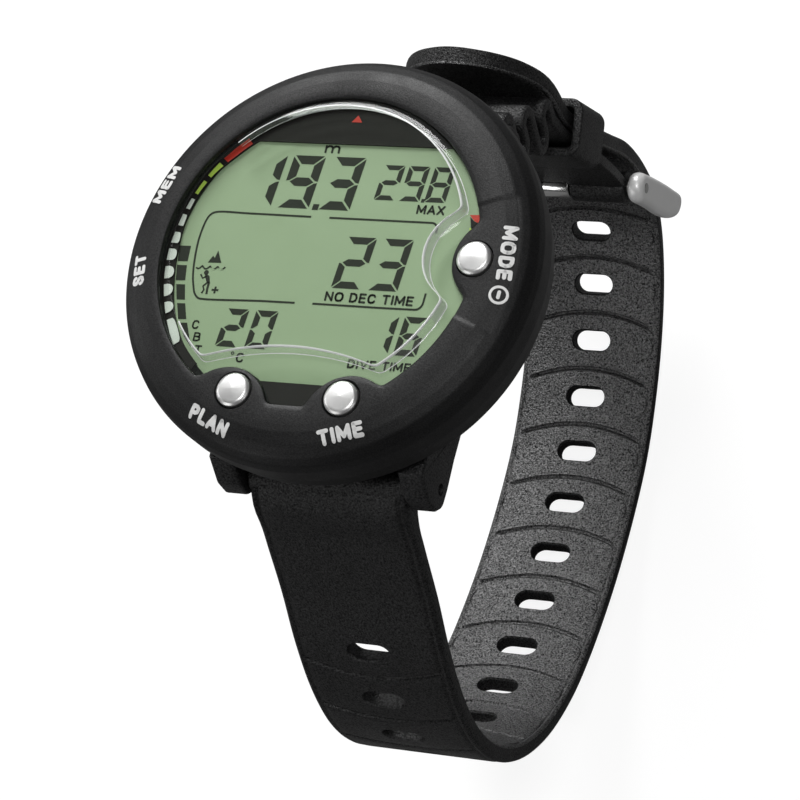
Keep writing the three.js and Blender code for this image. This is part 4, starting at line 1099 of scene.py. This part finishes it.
def rounded_box(half_x, low, high, radius, count=8):
    loop = []
    corners = [(half_x, low, -90), (half_x, high, 0), (-half_x, high, 90), (-half_x, low, 180)]
    for x, z, start in corners:
        cx, cz = x - math.copysign(radius, x), z + (radius if z == low else -radius)
        loop += [(cx + radius * math.cos((start + 90 * k / count) * DEGREE), cz + radius * math.sin((start + 90 * k / count) * DEGREE))
                 for k in range(count + 1)]
    return loop


def build_keeper():
    wall, half = 1.6, 5.75
    profile = filleted([(0, -half), (wall, -half), (wall, half), (0, half)], 0.45, 4)
    rings = []
    for out, y in profile:
        loop = rounded_box(13.4 + out, -3.2 - out, 3.45 + out, 0.7 + out)
        rings.append([(x, y, z) for x, z in loop])
    add_piece("keeper loop", skin(rings, loop=True), STRAP, "strap_keeper", ["strap_keeper"],
              place=turned_place(KEEPER))


def build_buckle():
    place = turned_place(BUCKLE)
    arm = [(2.7 * math.cos(t), 2.7 * math.sin(t)) for t in np.linspace(math.pi / 2, 1.5 * math.pi, 22)]
    arm += curve_through([(0, -2.7), (6, -2.95), (12, -3.45), (17.2, -3.3), (20.2, -2.3), (21.3, -0.2), (20.6, 1.4),
                          (17.0, 1.95), (11, 2.4), (5, 2.65), (0, 2.7)], 6)[1:-1]
    arm = [(float(y), float(z)) for y, z in arm]
    parts = [across(arm, 13.35, 16.3, 1.3, 9), across(arm, -16.3, -13.35, 1.3, 9), rod(1.5, -15.6, 15.6, 19.9, 0, 0.3)]
    add_piece("buckle bow", combined(parts[:2]), BLASTED, "buckle_frame", ["buckle_frame"],
                            place=place, sharp=60)
    add_piece("buckle crossbar", parts[2], POLISHED, "buckle_frame", place=place)
    add_piece("buckle pivot", rod(0.95, -16.45, 16.45, 0, 0, 0.25), STEEL, "short_strap", ["buckle_bar"],
              place=place)
    line = Line(curve_through(TONGUE_LINE, 10))
    section = filleted([(1.9, 0.65), (1.9, -0.65), (-1.9, -0.65), (-1.9, 0.65)], 0.4, 4)
    rings = []
    for u in np.linspace(0, line.total, 60):
        from_tip = line.total - u
        narrow = 1.0 if from_tip > 1.9 else math.sqrt(max(1 - ((1.9 - from_tip) / 1.9) ** 2, 0.01))
        rings.append([line.spot(x * narrow, u, height) for x, height in section])
    add_piece("buckle tongue blade", skin(rings), POLISHED, "buckle_tongue", ["buckle_tongue"], place=place,
              sharp=60)
    add_piece("buckle tongue sleeve", rod(2.3, -2.5, 2.5, 0, 0, 0.3), POLISHED, "buckle_tongue", place=place)


# ------------------------------------------------------------------ inside pieces, stage, light and camera

INSIDE = {
    SEAL: ["upper_connector_strip", "lower_connector_strip", "sensor_seal", "battery_cover_seal"],
    DIFFUSER: ["backlight_panel", "lcd_carrier"],
    BOARD: ["circuit_board"],
    RESIN: ["processor_chip"],
    BRASS: ["piezo_buzzer", "battery_contact_negative", "battery_contact_positive"],
    STEEL: ["board_screw_1", "board_screw_2", "board_screw_3", "pressure_sensor", "water_contact", "battery",
            "spring_bar_12_oclock", "spring_bar_6_oclock"],
}


def paint_inside():
    for button in BUTTONS:
        INSIDE[SEAL].append(f"{button}_button_seal")
        INSIDE[STEEL] += [f"{button}_button_clip", f"{button}_switch"]
    for material, names in INSIDE.items():
        for name in names:
            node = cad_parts[name]
            node.data.materials.clear()
            node.data.materials.append(material)


def area_light(name, place, target, size, power, color=(1, 1, 1)):
    data = bpy.data.lights.new(name, "AREA")
    data.shape = "RECTANGLE"
    data.size, data.size_y = size
    data.energy = power
    data.color = color
    light = bpy.data.objects.new(name, data)
    light.location = place
    light.rotation_euler = (Vector(target) - Vector(place)).to_track_quat("-Z", "Y").to_euler()
    scene.collection.objects.link(light)


def pale_floor():
    """A matt pale surface that the camera sees a little lifted, as in a cut-out studio shot."""
    nodes = Nodes("pale floor")
    matt = nodes.add("ShaderNodeBsdfDiffuse", Color=(0.2, 0.2, 0.2, 1))
    lift = nodes.add("ShaderNodeEmission", Color=(1, 1, 1, 1))
    rays = nodes.add("ShaderNodeLightPath")
    strength = nodes.add("ShaderNodeMath", operation="MULTIPLY")
    strength.inputs[1].default_value = 0.88
    nodes.link(rays.outputs["Is Camera Ray"], strength.inputs[0])
    nodes.link(strength.outputs[0], lift.inputs["Strength"])
    both = nodes.add("ShaderNodeAddShader")
    nodes.link(matt.outputs[0], both.inputs[0])
    nodes.link(lift.outputs[0], both.inputs[1])
    nodes.link(both.outputs[0], nodes.output.inputs["Surface"])
    return nodes.material


def build_stage():
    mesh = bpy.data.meshes.new("floor")
    mesh.from_pydata([(-3, -3, -0.0965), (3, -3, -0.0965), (3, 3, -0.0965), (-3, 3, -0.0965)], [], [(0, 1, 2, 3)])
    floor = bpy.data.objects.new("floor", mesh)
    floor.data.materials.append(pale_floor())
    scene.collection.objects.link(floor)
    world = bpy.data.worlds.new("studio")
    world.use_nodes = True
    tree = world.node_tree
    background = tree.nodes["Background"]
    background.inputs["Color"].default_value = (1, 1, 1, 1)
    rays = tree.nodes.new("ShaderNodeLightPath")
    strength = tree.nodes.new("ShaderNodeMapRange")
    strength.inputs["To Min"].default_value = 0.06
    strength.inputs["To Max"].default_value = 1.0
    tree.links.new(rays.outputs["Is Camera Ray"], strength.inputs["Value"])
    tree.links.new(strength.outputs["Result"], background.inputs["Strength"])
    scene.world = world
    area_light("overhead", (0.3, -0.1, 0.9), (0, 0, 0), (0.3, 0.3), 2.7)
    area_light("back", (-0.3, 0.72, 0.55), (0, 0, 0), (0.5, 0.45), 8.5)
    area_light("left", (-0.8, 0.1, 0.3), (0, 0, 0), (0.4, 0.5), 1.2)
    area_light("right", (0.8, -0.35, 0.4), (0, 0, 0), (0.3, 0.4), 0.45)
    area_light("front left", (-0.5, -0.7, 0.35), (0, 0, -0.05), (0.5, 0.4), 1.3)


def place_camera():
    data = bpy.data.cameras.new("camera")
    data.sensor_width = 36
    data.lens = 131.04
    data.clip_start = 0.02
    camera = bpy.data.objects.new("camera", data)
    right, down = Vector((0.91560, 0.21004, -0.34287)), Vector((0.07054, -0.92340, -0.37729))
    forward = Vector((-0.39585, 0.32126, -0.86029))
    turn = Matrix((right, -down, -forward)).transposed().to_4x4()
    camera.matrix_world = Matrix.Translation(Vector((181.164, -154.791, 381.693)) * MM) @ turn
    scene.collection.objects.link(camera)
    scene.camera = camera
    scene.view_settings.view_transform = "Standard"


build_boot()
build_case()
build_hatch()
build_buttons()
build_window()
build_mask()
build_scale()
build_display()
build_labels()
build_long_strap()
build_short_strap()
build_keeper()
build_buckle()
paint_inside()
build_stage()
place_camera()
